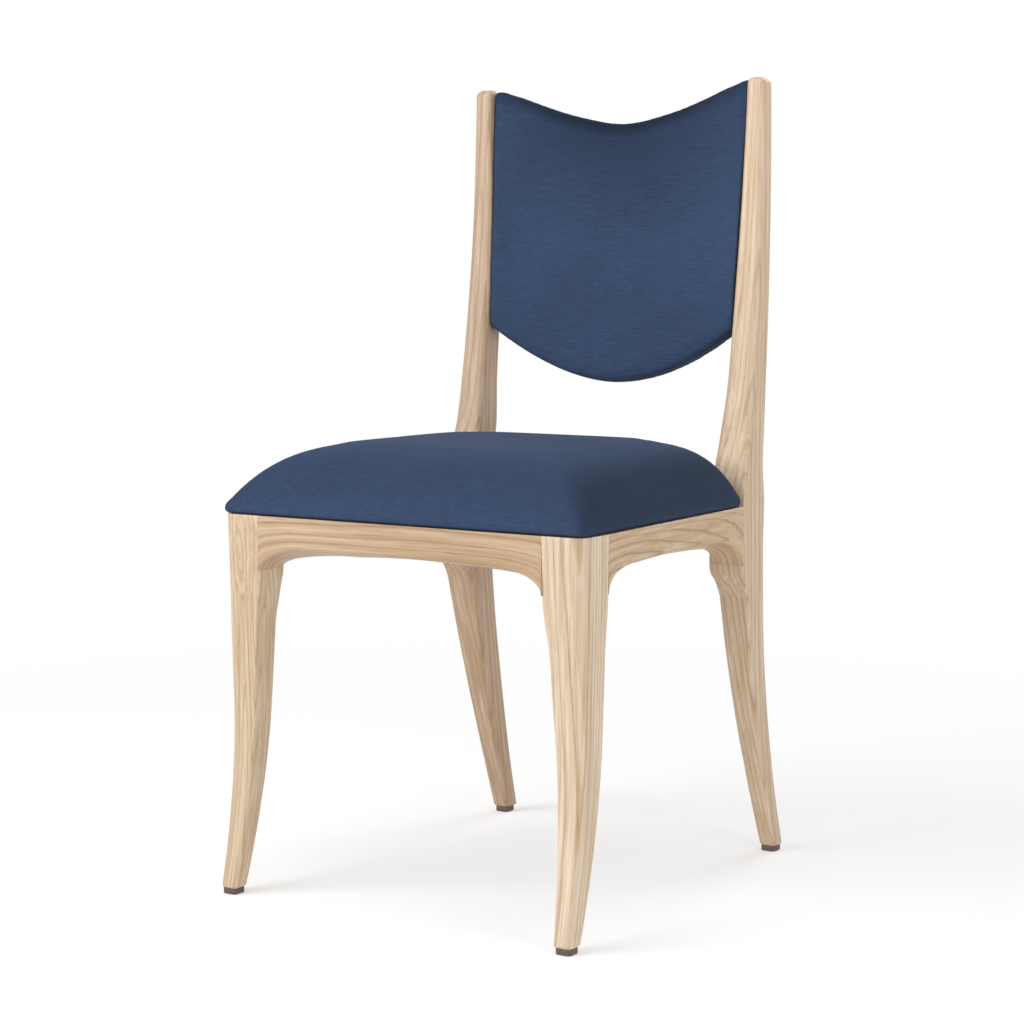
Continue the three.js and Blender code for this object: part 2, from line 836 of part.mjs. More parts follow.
// Joins two grids of the same size into one closed skin, the first facing front and the second back
function pillow(frontGrid, backGrid) {
  const columns = frontGrid.length;
  const rows = frontGrid[0].length;
  const points = [...frontGrid.flat(), ...backGrid.flat()];
  const behind = columns * rows;
  const faces = [];
  const quad = (a, b, c, d) => faces.push(a, b, c, a, c, d);
  const at = (i, j) => i * rows + j;
  for (let i = 0; i < columns - 1; i += 1) {
    for (let j = 0; j < rows - 1; j += 1) {
      quad(at(i, j), at(i + 1, j), at(i + 1, j + 1), at(i, j + 1));
      quad(behind + at(i, j), behind + at(i, j + 1), behind + at(i + 1, j + 1), behind + at(i + 1, j));
    }
    quad(at(i, 0), behind + at(i, 0), behind + at(i + 1, 0), at(i + 1, 0));
    quad(at(i, rows - 1), at(i + 1, rows - 1), behind + at(i + 1, rows - 1), behind + at(i, rows - 1));
  }
  for (let j = 0; j < rows - 1; j += 1) {
    const last = columns - 1;
    quad(at(0, j), at(0, j + 1), behind + at(0, j + 1), behind + at(0, j));
    quad(at(last, j), behind + at(last, j), behind + at(last, j + 1), at(last, j + 1));
  }
  return closedGeometry(points, faces);
}

// Depths of the panel's layers, from the front linen to the back linen
const layers = {
  front: (share, z) => panelFront(share, z),
  foamFront: (share, z) => panelFront(share, z) + clothThickness + fitGap,
  boardFront: (share, z) => layers.boardBack(share, z) - panelBoardThickness,
  foamBack: (share, z) => layers.boardFront(share, z) - fitGap,
  boardBack: (share, z) => layers.lining(share, z) - fitGap,
  lining: (share, z) => layers.wrapBack(share, z) - clothThickness,
  wrapBack: (share, z) => layers.outerFront(share, z) - fitGap,
  outerFront: (share, z) => panelBack(share, z) - clothThickness,
  back: (share, z) => panelBack(share, z),
};
const liningInset = clothThickness + fitGap;

function beyondPanel(share, z) {
  return layers.back(share, z) + cutOverrun;
}

function makePanelCover() {
  const outer = panelBody({ inset: 0, front: layers.front, back: layers.wrapBack, edges: paddedEdges });
  const hollowFront = (share, z) => layers.front(share, z) + clothThickness;
  const hollow = panelBody({
    inset: clothThickness, front: hollowFront, back: layers.lining, edges: paddedEdges,
  });
  const mouth = panelBody({
    inset: panelMargin, front: layers.foamFront, back: beyondPanel, edges: flatEdges,
  });
  return cutAway(outer, hollow, mouth, ...dowels(fitGap));
}

function makePanelFoam() {
  const pad = panelBody({
    inset: liningInset, front: layers.foamFront, back: layers.boardBack, edges: paddedEdges,
  });
  return cutAway(pad, panelBody({ inset: 0, front: layers.foamBack, back: beyondPanel, edges: flatEdges }));
}

function makePanelBoard() {
  const board = panelBody({
    inset: panelBoardInset, front: layers.boardFront, back: layers.boardBack, edges: flatEdges,
  });
  return cutAway(board, ...dowels(fitGap));
}

function makePanelOuterCover() {
  return panelBody({ inset: panelBackInset, front: layers.outerFront, back: layers.back, edges: flatEdges });
}

// Dowels that join the panel's board to the posts, two a side
function dowelAt(heightShare, gap) {
  const z = panelSideBottom + panelHeight * heightShare;
  const y = layers.boardFront(dowelEndShare, z) + panelBoardThickness / 2;
  const x = panelHalfWidth(z);
  const half = dowelLength / 2 + gap;
  const ends = [new THREE.Vector3(x - half, y, z), new THREE.Vector3(x + half, y, z)];
  return bar(...ends, dowelDiameter / 2 + gap, dowelFacets);
}

function dowels(gap) {
  const left = dowelHeightShares.map((share) => dowelAt(share, gap));
  return [...left, ...left.map(mirrored)];
}

// Legs with their mortises and bores

function makeFrontLeg() {
  const leg = loft(legRings(frontLegSection, frontLevels));
  return cutAway(leg, mortises(frontRailAxes)[0], mortises(sideRailAxes)[1], nailAt(frontFoot, fitGap));
}

function makeRearLeg() {
  const rings = legRings(rearLegSection, rearLevels);
  const last = rearLegSection(tipStart);
  for (let k = 0; k <= tipSteps; k += 1) {
    const angle = (k / (tipSteps + tipSteps)) * Math.PI;
    const draw = postTopRound * (1 - Math.cos(angle)) * tipDrawShare;
    rings.push(drawnIn(last, draw, tipStart + postTopRound * Math.sin(angle)));
  }
  const bores = dowelHeightShares.map((share) => dowelAt(share, fitGap));
  const joints = [mortises(rearRailAxes)[1], mortises(sideRailAxes)[0]];
  return cutAway(loft(rings), ...joints, nailAt(rearFoot, fitGap), ...bores);
}

// Seat

// Half of the seat's plan, from the middle of the front to the middle of the back, notched at the post
function seatHalfOutline(inset) {
  const front = frontFaceY - seatOverhang + inset;
  const back = rearRailFaceY + seatOverhang - inset;
  const side = (y) => outerLineX(y) + seatOverhang - inset;
  const notchY = rearJointY - seatSideBulge - postNotchGap - inset;
  const notchX = rearJointX - seatSideBulge - postNotchGap - inset;
  const frontCentreX = side(front + seatCornerRadius) - seatCornerRadius;
  const frontCentreY = front + seatCornerRadius;
  const rearCentreX = side(notchY - seatRearCornerRadius) - seatRearCornerRadius;
  const rearCentreY = notchY - seatRearCornerRadius;
  return [
    ...spanned([0, front], [frontCentreX, front], seatFrontSteps),
    ...quarterTurn(frontCentreX, frontCentreY, seatCornerRadius, -Math.PI / 2),
    ...spanned([side(frontCentreY), frontCentreY], [side(rearCentreY), rearCentreY], seatSideSteps),
    ...quarterTurn(rearCentreX, rearCentreY, seatRearCornerRadius, 0),
    ...spanned([rearCentreX, notchY], [notchX, notchY], seatNotchSteps),
    ...spanned([notchX, notchY], [notchX, back], seatNotchSteps),
    ...spanned([notchX, back], [0, back], seatBackSteps),
  ];
}

function quarterTurn(centreX, centreY, radius, start) {
  return Array.from({ length: seatCornerSteps }, (_, k) => {
    const angle = start + (k / seatCornerSteps) * (Math.PI / 2);
    return [centreX + radius * Math.cos(angle), centreY + radius * Math.sin(angle)];
  });
}

function spanned(from, to, count) {
  return Array.from({ length: count }, (_, i) => [
    mix(from[0], to[0], i / count),
    mix(from[1], to[1], i / count),
  ]);
}

function seatOutline(inset) {
  const half = seatHalfOutline(inset);
  const backMiddle = [0, rearRailFaceY + seatOverhang - inset];
  const otherHalf = half.slice(1).reverse().map(([x, y]) => [-x, y]);
  return [...half, backMiddle, ...otherHalf];
}

const seatCentreY = (frontFaceY + rearRailFaceY) / 2 - seatCrownForward;

// A ring of the domed seat: the outline near the edge, softened to a plain rounded square further in
function seatRing(outline, share, edgeTop, crown) {
  const halfX = outerLineX(seatCentreY);
  const kept = Math.pow(share, seatSofteningPower);
  const z = mix(edgeTop, crown, Math.pow(1 - Math.pow(share, seatDomePower), seatDomeRoundness));
  return outline.map(([x, y]) => {
    const fromCentre = new THREE.Vector2(x, y - seatCentreY);
    const halfY = fromCentre.y > 0 ? rearRailFaceY - seatCentreY : seatCentreY - frontFaceY;
    const reach = fromCentre.length();
    const spread = Math.pow(Math.abs(fromCentre.x / halfX), seatSoftSquareness)
      + Math.pow(Math.abs(fromCentre.y / halfY), seatSoftSquareness);
    const softReach = reach / Math.pow(spread, 1 / seatSoftSquareness);
    fromCentre.multiplyScalar(share * mix(softReach, reach, kept) / reach);
    return new THREE.Vector3(fromCentre.x, fromCentre.y + seatCentreY, z);
  });
}

// The seat's form, or the same form drawn in by an inset all round
function seatForm(inset, bottom) {
  const side = (draw) => seatOutline(inset + draw);
  const edgeTop = bottom + seatEdgeRise - inset;
  const crown = seatCrown - inset;
  const flat = (outline, z) => outline.map(([x, y]) => new THREE.Vector3(x, y, z));
  const [low, high] = seatSideShares.map((share) => mix(bottom, edgeTop, share));
  const rings = [flat(side(seatSideDraw / 2), bottom), flat(side(0), low), flat(side(-seatSideBulge), high)];
  return loft([...rings, ...seatRingShares.map((share) => seatRing(side(0), share, edgeTop, crown))]);
}

function makeSeatCover() {
  const outer = seatForm(0, seatBottom);
  const hollow = seatForm(clothThickness, seatBottom + clothThickness);
  const mouth = planPrism(seatOutline(seatMargin), seatBottom - cutOverrun, seatBottom + cutOverrun);
  return cutAway(outer, hollow, mouth, ...seatScrewHoles());
}

function seatScrewHoles() {
  const left = [frontCorner, rearCorner].map((corner) => screwHole(cornerScrews(corner).seat));
  return [...left, ...left.map(mirrored)];
}

function makeSeatBoard() {
  const board = planPrism(seatOutline(seatBoardInset), boardBottom, boardBottom + seatBoardThickness);
  return cutAway(board, ...seatScrewHoles());
}

function makeSeatFoam() {
  const inset = clothThickness + fitGap;
  const foam = seatForm(inset, boardBottom);
  const boardTop = boardBottom + seatBoardThickness + fitGap;
  return cutAway(foam, planPrism(seatOutline(seatBoardInset - inset), boardBottom - cutOverrun, boardTop));
}

function makeDustCloth() {
  const low = seatBottom;
  const cloth = planPrism(seatOutline(seatMargin + dustClothGap), low, low + dustClothThickness);
  return cutAway(cloth, ...seatScrewHoles());
}

// Finishes

const ash = new THREE.MeshStandardMaterial({ color: '#d8bf9c', roughness: 0.55, metalness: 0 });
const plywood = new THREE.MeshStandardMaterial({ color: '#c9ab80', roughness: 0.7, metalness: 0 });
const beech = new THREE.MeshStandardMaterial({ color: '#cfa77c', roughness: 0.7, metalness: 0 });
const linen = new THREE.MeshStandardMaterial({ color: '#34486a', roughness: 0.9, metalness: 0 });
const foam = new THREE.MeshStandardMaterial({ color: '#e6dfc8', roughness: 0.95, metalness: 0 });
const steel = new THREE.MeshStandardMaterial({ color: '#9a9a96', roughness: 0.35, metalness: 1 });
const nylon = new THREE.MeshStandardMaterial({ color: '#6a5350', roughness: 0.6, metalness: 0 });
const lining = new THREE.MeshStandardMaterial({ color: '#26262a', roughness: 0.95, metalness: 0 });

const chair = new THREE.Group();

function addPiece(name, geometry, material) {
  const mesh = new THREE.Mesh(geometry, material.clone());
  mesh.name = name;
  chair.add(mesh);
}

// The same piece on the sitter's left, at +X, and on the right
function addPair(name, geometry, material) {
  addPiece(`${name}_left`, geometry, material);
  addPiece(`${name}_right`, mirrored(geometry), material);
}

// Assembly

const corners = { front: frontCorner, rear: rearCorner };
const cornerBores = (corner, side) => screwHole(cornerScrews(corner)[side]);
const bothSides = (geometry) => [geometry, mirrored(geometry)];

addPair('front_leg', makeFrontLeg(), ash);
addPair('rear_leg', makeRearLeg(), ash);
addPiece('front_rail', cutAway(makeFrontRail(), ...bothSides(cornerBores(frontCorner, 'cross'))), ash);
addPiece('rear_rail', cutAway(makeRearRail(), ...bothSides(cornerBores(rearCorner, 'cross'))), ash);
const sideBores = [cornerBores(frontCorner, 'side'), cornerBores(rearCorner, 'side')];
addPair('side_rail', cutAway(makeSideRail(), ...sideBores), ash);

for (const [place, corner] of Object.entries(corners)) {
  const screws = cornerScrews(corner);
  addPair(`${place}_corner_block`, makeBlock(corner), beech);
  addPair(`${place}_block_cross_screw`, screwBody(screws.cross), steel);
  addPair(`${place}_block_side_screw`, screwBody(screws.side), steel);
  addPair(`${place}_seat_screw`, screwBody(screws.seat), steel);
}

addPair('front_glide', makeGlide(frontFoot), nylon);
addPair('rear_glide', makeGlide(rearFoot), nylon);
addPair('front_glide_nail', nailAt(frontFoot, 0), steel);
addPair('rear_glide_nail', nailAt(rearFoot, 0), steel);

addPiece('seat_board', makeSeatBoard(), plywood);
addPiece('seat_foam', makeSeatFoam(), foam);
addPiece('seat_cover', makeSeatCover(), linen);
addPiece('seat_dust_cloth', makeDustCloth(), lining);

addPiece('back_board', makePanelBoard(), plywood);
addPiece('back_foam', makePanelFoam(), foam);
addPiece('back_cover', makePanelCover(), linen);
addPiece('back_outer_cover', makePanelOuterCover(), linen);
addPair('lower_back_dowel', dowelAt(dowelHeightShares[0], 0), beech);
addPair('upper_back_dowel', dowelAt(dowelHeightShares[1], 0), beech);

export default chair;
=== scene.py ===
# %% [markdown]
# # Klismos dining chair in ash and navy linen
#
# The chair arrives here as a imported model: every board, block, screw and pad at its real size and place.
# This file gives it its looks. Rigid wood is skinned again with finer curves by the same rules as the
# solids, the pads are swollen with a short cloth simulation, and each finish is built from what the real
# material is. Lengths below are in millimetres, as a joiner writes them, and are turned to metres once.

# %% Load the frame and keep its box
import math

import bmesh
import bpy
import numpy as np
from mathutils import Matrix, Vector


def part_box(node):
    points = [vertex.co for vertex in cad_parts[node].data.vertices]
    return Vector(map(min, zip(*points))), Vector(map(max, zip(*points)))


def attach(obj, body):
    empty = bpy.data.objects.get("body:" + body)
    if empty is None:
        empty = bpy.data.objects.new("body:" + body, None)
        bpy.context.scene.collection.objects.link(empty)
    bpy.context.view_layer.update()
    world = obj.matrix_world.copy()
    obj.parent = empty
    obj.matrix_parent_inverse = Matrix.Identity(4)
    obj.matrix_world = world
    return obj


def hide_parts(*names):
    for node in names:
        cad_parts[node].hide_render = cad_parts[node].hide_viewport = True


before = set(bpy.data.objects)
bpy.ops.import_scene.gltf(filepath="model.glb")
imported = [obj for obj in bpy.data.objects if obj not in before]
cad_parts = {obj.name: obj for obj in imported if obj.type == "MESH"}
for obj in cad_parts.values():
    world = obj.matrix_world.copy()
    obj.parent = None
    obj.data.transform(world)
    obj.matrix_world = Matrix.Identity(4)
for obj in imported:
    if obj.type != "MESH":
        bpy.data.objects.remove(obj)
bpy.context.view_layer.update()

# %% [markdown]
# ## Camera
#
# A product photographer stands well back with a long lens, so that the legs stay nearly parallel. The four
# feet on a level floor fix the whole view: 33.3 degrees round from the front, 5.75 degrees above the
# middle of the chair, and about 2.7 metres away. It could be lined up by eye; solving it from the feet, the
# seat corners and the post tops is surer, and the numbers below are that solution.

# %% Camera
MILLI = 0.001

view_turn = math.radians(33.307)
view_rise = math.radians(5.7527)
look_at = Vector((0.0, -21.2, 419.8)) * MILLI
back = Vector((
    math.sin(view_turn) * math.cos(view_rise),
    -math.cos(view_turn) * math.cos(view_rise),
    math.sin(view_rise),
))
camera_data = bpy.data.cameras.new("photo_camera")
camera_data.lens = 83.75
camera_data.sensor_width = 36.0
camera = bpy.data.objects.new("photo_camera", camera_data)
camera.location = look_at + back * 2692.6 * MILLI
camera.rotation_euler = back.to_track_quat("Z", "Y").to_euler()
bpy.context.scene.collection.objects.link(camera)
bpy.context.scene.camera = camera
print("camera at", [round(value, 3) for value in camera.location])

# %% [markdown]
# ## Sizes
#
# The joiner's sizes come first, because every board is skinned from them. They are the solids' own sizes,
# so that a finer skin lies where its solid lies.

# %% Sizes of the frame
OVERALL_HEIGHT = 912.0
OVERALL_DEPTH = 529.0
FRONT_WIDTH = 468.2
REAR_WIDTH = 425.6
RAIL_TOP = 424.5
FIT_GAP = 0.3
FOOT_WIDTH = 22.5
GLIDE_HEIGHT = 7.5

FRONT_LEG_WIDTH = 50.0
FRONT_FLARE = 30.4
FRONT_KNEE = 209.0
FRONT_FLARE_POWER = 1.8
FRONT_FOOT_LEAN = 3.8

REAR_SWEEP = 91.7
REAR_SWEEP_POWER = 1.55
REAR_KNEE = 415.0
REAR_LEG_WIDTH = 46.8
REAR_LEG_DEPTH = 54.0
REAR_FOOT_INSET = 10.5
POST_LEAN = 48.3
POST_TOP_WIDTH = 22.0
POST_TOP_INSET = 13.6

FRONT_EAR_DROP = 61.0
REAR_EAR_DROP = 68.0
FRONT_EAR_RUN = 67.0
REAR_EAR_RUN = 66.0
RAIL_ARCH = 34.5
SHOULDER_DROP = 1.7
EAR_BEND_SHARE = 0.55
ARCH_SHARE = 0.55
EAR_TIP = 0.12
RAIL_EDGE = 6.0
FRONT_RAIL_THICKNESS = 44.0
SIDE_RAIL_THICKNESS = 40.0
REAR_RAIL_THICKNESS = 24.0
REAR_RAIL_SETBACK = 15.0
FRONT_FLOW = 62.0
REAR_FLOW = 42.0

front_leg_y = -OVERALL_DEPTH / 2 + FOOT_WIDTH / 2 + FRONT_FLARE
rear_leg_y = OVERALL_DEPTH / 2 - FOOT_WIDTH / 2 - REAR_SWEEP
front_face_y = front_leg_y - FRONT_LEG_WIDTH / 2
front_joint_y = front_leg_y + FRONT_LEG_WIDTH / 2
rear_joint_y = rear_leg_y - REAR_LEG_DEPTH / 2
rear_rail_face_y = rear_leg_y + REAR_LEG_DEPTH / 2 - REAR_RAIL_SETBACK
front_outer_x = FRONT_WIDTH / 2
front_joint_x = front_outer_x - FRONT_LEG_WIDTH
rear_outer_x = REAR_WIDTH / 2
rear_joint_x = rear_outer_x - REAR_LEG_WIDTH
front_ear_bottom = RAIL_TOP - FRONT_EAR_DROP
rear_ear_bottom = RAIL_TOP - REAR_EAR_DROP
toe_slope = (FRONT_WIDTH - REAR_WIDTH) / 2 / (rear_joint_y - front_joint_y)
print("side rails toe in by", round(math.degrees(math.atan(toe_slope)), 2), "degrees")

# %% [markdown]
# ## Small tools
#
# Three helpers are used throughout: one turns a hex colour to the linear values a shader works in, one
# adds a node with its settings and links to any tree, and one closes rings of points into a mesh with its
# faces outwards. Rings suit a joiner's shapes, because a leg or a rail is a section that changes along it.

# %% Colours, nodes and skins
def linear(code):
    """An sRGB hex colour as linear red, green, blue and alpha."""
    parts = [int(code[i:i + 2], 16) / 255 for i in (1, 3, 5)]
    return tuple(c / 12.92 if c <= 0.04045 else ((c + 0.055) / 1.055) ** 2.4 for c in parts) + (1.0,)


def add(tree, kind, settings=None, inputs=None):
    """Adds a node to a tree. An input is given by name or number, as a value or as the socket to link."""
    node = tree.nodes.new(kind)
    for name, value in (settings or {}).items():
        setattr(node, name, value)
    for key, value in (inputs or {}).items():
        if isinstance(value, bpy.types.NodeSocket):
            tree.links.new(value, node.inputs[key])
        else:
            node.inputs[key].default_value = value
    return node


def mix(a, b, share):
    return a + (b - a) * share


def clamp(value, low=0.0, high=1.0):
    return max(low, min(high, value))


def smooth(value):
    t = clamp(value)
    return t * t * (3 - 2 * t)


def finish_mesh(mesh, sharp_degrees):
    """Merges doubles, turns all faces outwards and shades smooth except over sharp edges."""
    shape = bmesh.new()
    shape.from_mesh(mesh)
    bmesh.ops.remove_doubles(shape, verts=shape.verts, dist=0.00001)
    bmesh.ops.recalc_face_normals(shape, faces=shape.faces)
    shape.to_mesh(mesh)
    shape.free()
    mesh.shade_smooth()
    mesh.set_sharp_from_angle(angle=math.radians(sharp_degrees))


def skin(name, rings, sharp_degrees=40):
    """A closed mesh over rings of points in millimetres, with both ends capped."""
    count = len(rings[0])
    points = [tuple(float(c) * MILLI for c in p) for ring in rings for p in ring]
    faces = []
    for r in range(len(rings) - 1):
        for i in range(count):
            a = r * count + i
            b = r * count + (i + 1) % count
            faces.append((a, b, b + count, a + count))
    last = (len(rings) - 1) * count
    faces.append(tuple(range(count - 1, -1, -1)))
    faces.append(tuple(range(last, last + count)))
    mesh = bpy.data.meshes.new(name)
    mesh.from_pydata(points, [], faces)
    finish_mesh(mesh, sharp_degrees)
    piece = bpy.data.objects.new(name, mesh)
    bpy.context.scene.collection.objects.link(piece)
    return piece


def lay_grain(piece, straighten=None):
    """Stores where each point lies in its board. straighten takes the leg's sweep out of the place."""
    places = coordinates(piece.data) / MILLI
    if straighten:
        places = np.array([straighten(*place) for place in places])
    grain = piece.data.attributes.new("grain", "FLOAT_VECTOR", "POINT")
    grain.data.foreach_set("vector", (places * MILLI).astype(np.float32).ravel())


def coordinates(mesh):
    values = np.empty(len(mesh.vertices) * 3, np.float64)
    mesh.vertices.foreach_get("co", values)
    return values.reshape(-1, 3)


def set_piece(piece, material, slot, *nodes):
    """Gives a finished piece its material and its place in the frame."""
    piece.data.materials.clear()
    piece.data.materials.append(material)
    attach(piece, "root")
    if nodes:
        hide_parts(*nodes)
    print(piece.name, "faces:", len(piece.data.polygons))


# %% [markdown]
# ## Natural ash
#
# Ash is a pale, ring-porous hardwood. Each year adds a band of open pores that reads as a darker line, and
# a band of dense, pale wood. A board cut along the trunk shows these bands as long lines, and where a sabre
# leg curves across them they turn into pointed arches. So the grain is not painted on: it is a stack of
# rings round the heart of the tree, far from the board, and each piece is carved out of it at its own place.
# The wood is planed, sanded and lacquered matt, so it has a soft sheen and only the pores can be felt.
# Ring spacing is 5 to 7 mm, and the pores are 0.3 mm wide, drawn about 0.8 mm wide so that they show.

# %% Ash material
def ash(name, along, heart, turn=0.0, ring_width=6.0, tone=(1.0, 1.0, 1.0)):
    """Ash with its grain along an axis. heart is where the tree's middle lies from the chair's origin."""
    material = bpy.data.materials.new(name)
    material.use_nodes = True
    tree = material.node_tree
    tree.nodes.clear()
    place = add(tree, "ShaderNodeAttribute", {"attribute_name": "grain", "attribute_type": "GEOMETRY"})
    turns = {"z": (0.0, 0.0, turn), "x": (0.0, math.radians(90), turn), "y": (math.radians(90), 0.0, turn)}
    board = add(tree, "ShaderNodeMapping", {"vector_type": "TEXTURE"}, {
        "Vector": place.outputs["Vector"],
        "Location": tuple(c * MILLI for c in heart),
        "Rotation": turns[along],
    })
    stretched = add(tree, "ShaderNodeMapping", {"vector_type": "POINT"}, {
        "Vector": board.outputs[0], "Scale": (1.0, 1.0, 0.055),
    })
    waver = add(tree, "ShaderNodeTexNoise", {"noise_dimensions": "3D"}, {
        "Vector": stretched.outputs[0], "Scale": 26.0, "Detail": 3.0, "Roughness": 0.45,
    })
    centred = add(tree, "ShaderNodeVectorMath", {"operation": "SUBTRACT"}, {
        0: waver.outputs["Color"], 1: (0.5, 0.5, 0.5),
    })
    bent = add(tree, "ShaderNodeVectorMath", {"operation": "MULTIPLY_ADD"}, {
        0: centred.outputs[0], 1: (0.02, 0.02, 0.0), 2: board.outputs[0],
    })
    flat = add(tree, "ShaderNodeVectorMath", {"operation": "MULTIPLY"}, {
        0: bent.outputs[0], 1: (1.0, 1.0, 0.0),
    })
    radius = add(tree, "ShaderNodeVectorMath", {"operation": "LENGTH"}, {0: flat.outputs[0]})
    rings = add(tree, "ShaderNodeMath", {"operation": "DIVIDE"}, {
        0: radius.outputs["Value"], 1: ring_width * MILLI,
    })
    year = add(tree, "ShaderNodeMath", {"operation": "FRACT"}, {0: rings.outputs[0]})
    band = add(tree, "ShaderNodeValToRGB", None, {"Fac": year.outputs[0]})
    stops = band.color_ramp.elements
    stops[0].position, stops[0].color = 0.0, (0.12, 0.12, 0.12, 1)
    stops[1].position, stops[1].color = 1.0, (0.2, 0.2, 0.2, 1)
    for at, level in ((0.1, 0.3), (0.45, 0.1), (0.72, 0.28), (0.86, 0.95), (0.94, 0.75)):
        stop = stops.new(at)
        stop.color = (level, level, level, 1)
    patch = add(tree, "ShaderNodeTexNoise", {"noise_dimensions": "3D"}, {
        "Vector": stretched.outputs[0], "Scale": 14.0, "Detail": 2.0,
    })
    strength = add(tree, "ShaderNodeMapRange", None, {
        "Value": patch.outputs["Fac"], "From Min": 0.32, "From Max": 0.68, "To Min": 0.3, "To Max": 1.0,
    })
    marked = add(tree, "ShaderNodeMath", {"operation": "MULTIPLY"}, {
        0: band.outputs["Color"], 1: strength.outputs[0],
    })
    fibre_place = add(tree, "ShaderNodeMapping", {"vector_type": "POINT"}, {
        "Vector": bent.outputs[0], "Scale": (1.0, 1.0, 0.028),
    })
    fibre = add(tree, "ShaderNodeTexNoise", {"noise_dimensions": "3D"}, {
        "Vector": fibre_place.outputs[0], "Scale": 900.0, "Detail": 2.0, "Roughness": 0.6,
    })
    pores = add(tree, "ShaderNodeMapRange", None, {
        "Value": fibre.outputs["Fac"], "From Min": 0.54, "From Max": 0.72, "To Min": 0.0, "To Max": 1.0,
    })
    near_band = add(tree, "ShaderNodeMath", {"operation": "MULTIPLY_ADD"}, {
        0: marked.outputs[0], 1: 0.75, 2: 0.25,
    })
    pore_mark = add(tree, "ShaderNodeMath", {"operation": "MULTIPLY"}, {
        0: pores.outputs[0], 1: near_band.outputs[0],
    })
    streak = add(tree, "ShaderNodeTexNoise", {"noise_dimensions": "3D"}, {
        "Vector": fibre_place.outputs[0], "Scale": 210.0, "Detail": 3.0, "Roughness": 0.55,
    })
    streaked = add(tree, "ShaderNodeMapRange", None, {
        "Value": streak.outputs["Fac"], "From Min": 0.3, "From Max": 0.7,
    })
    pale = add(tree, "ShaderNodeMix", {"data_type": "RGBA"}, {
        "Factor": streaked.outputs[0], "A": linear("#E9D9C2"), "B": linear("#C8AE8D"),
    })
    banded = add(tree, "ShaderNodeMix", {"data_type": "RGBA"}, {
        "Factor": marked.outputs[0], "A": pale.outputs["Result"], "B": linear("#AF8E68"),
    })
    pored = add(tree, "ShaderNodeMix", {"data_type": "RGBA"}, {
        "Factor": pore_mark.outputs[0], "A": banded.outputs["Result"], "B": linear("#9C7B5B"),
    })
    board_tone = add(tree, "ShaderNodeVectorMath", {"operation": "MULTIPLY"}, {
        0: pored.outputs["Result"], 1: tone,
    })
    relief = add(tree, "ShaderNodeBump", None, {
        "Height": pore_mark.outputs[0], "Strength": 0.25, "Distance": -0.0003,
    })
    gloss = add(tree, "ShaderNodeMapRange", None, {
        "Value": pore_mark.outputs[0], "To Min": 0.4, "To Max": 0.62,
    })
    surface = add(tree, "ShaderNodeBsdfPrincipled", None, {
        "Base Color": board_tone.outputs[0], "Roughness": gloss.outputs[0], "Normal": relief.outputs[0],
        "IOR": 1.5, "Specular IOR Level": 0.5,
    })
    add(tree, "ShaderNodeOutputMaterial", None, {"Surface": surface.outputs[0]})
    return material


# %% [markdown]
# ## Front legs
#
# A front leg starts as a straight square bar. The joiner tapers it to the foot, then saws a sweep that
# carries the foot forward, and rounds the outer corner that a hand meets. That is a rule, not a drawing, so
# it suits Geometry Nodes: each point of a plain drum is pushed out onto a rounded square, scaled by the
# taper and moved by the sweep. Near the rails two faces swell a little to run into the rails' ears. The same
# tree makes both legs, and one input mirrors it.

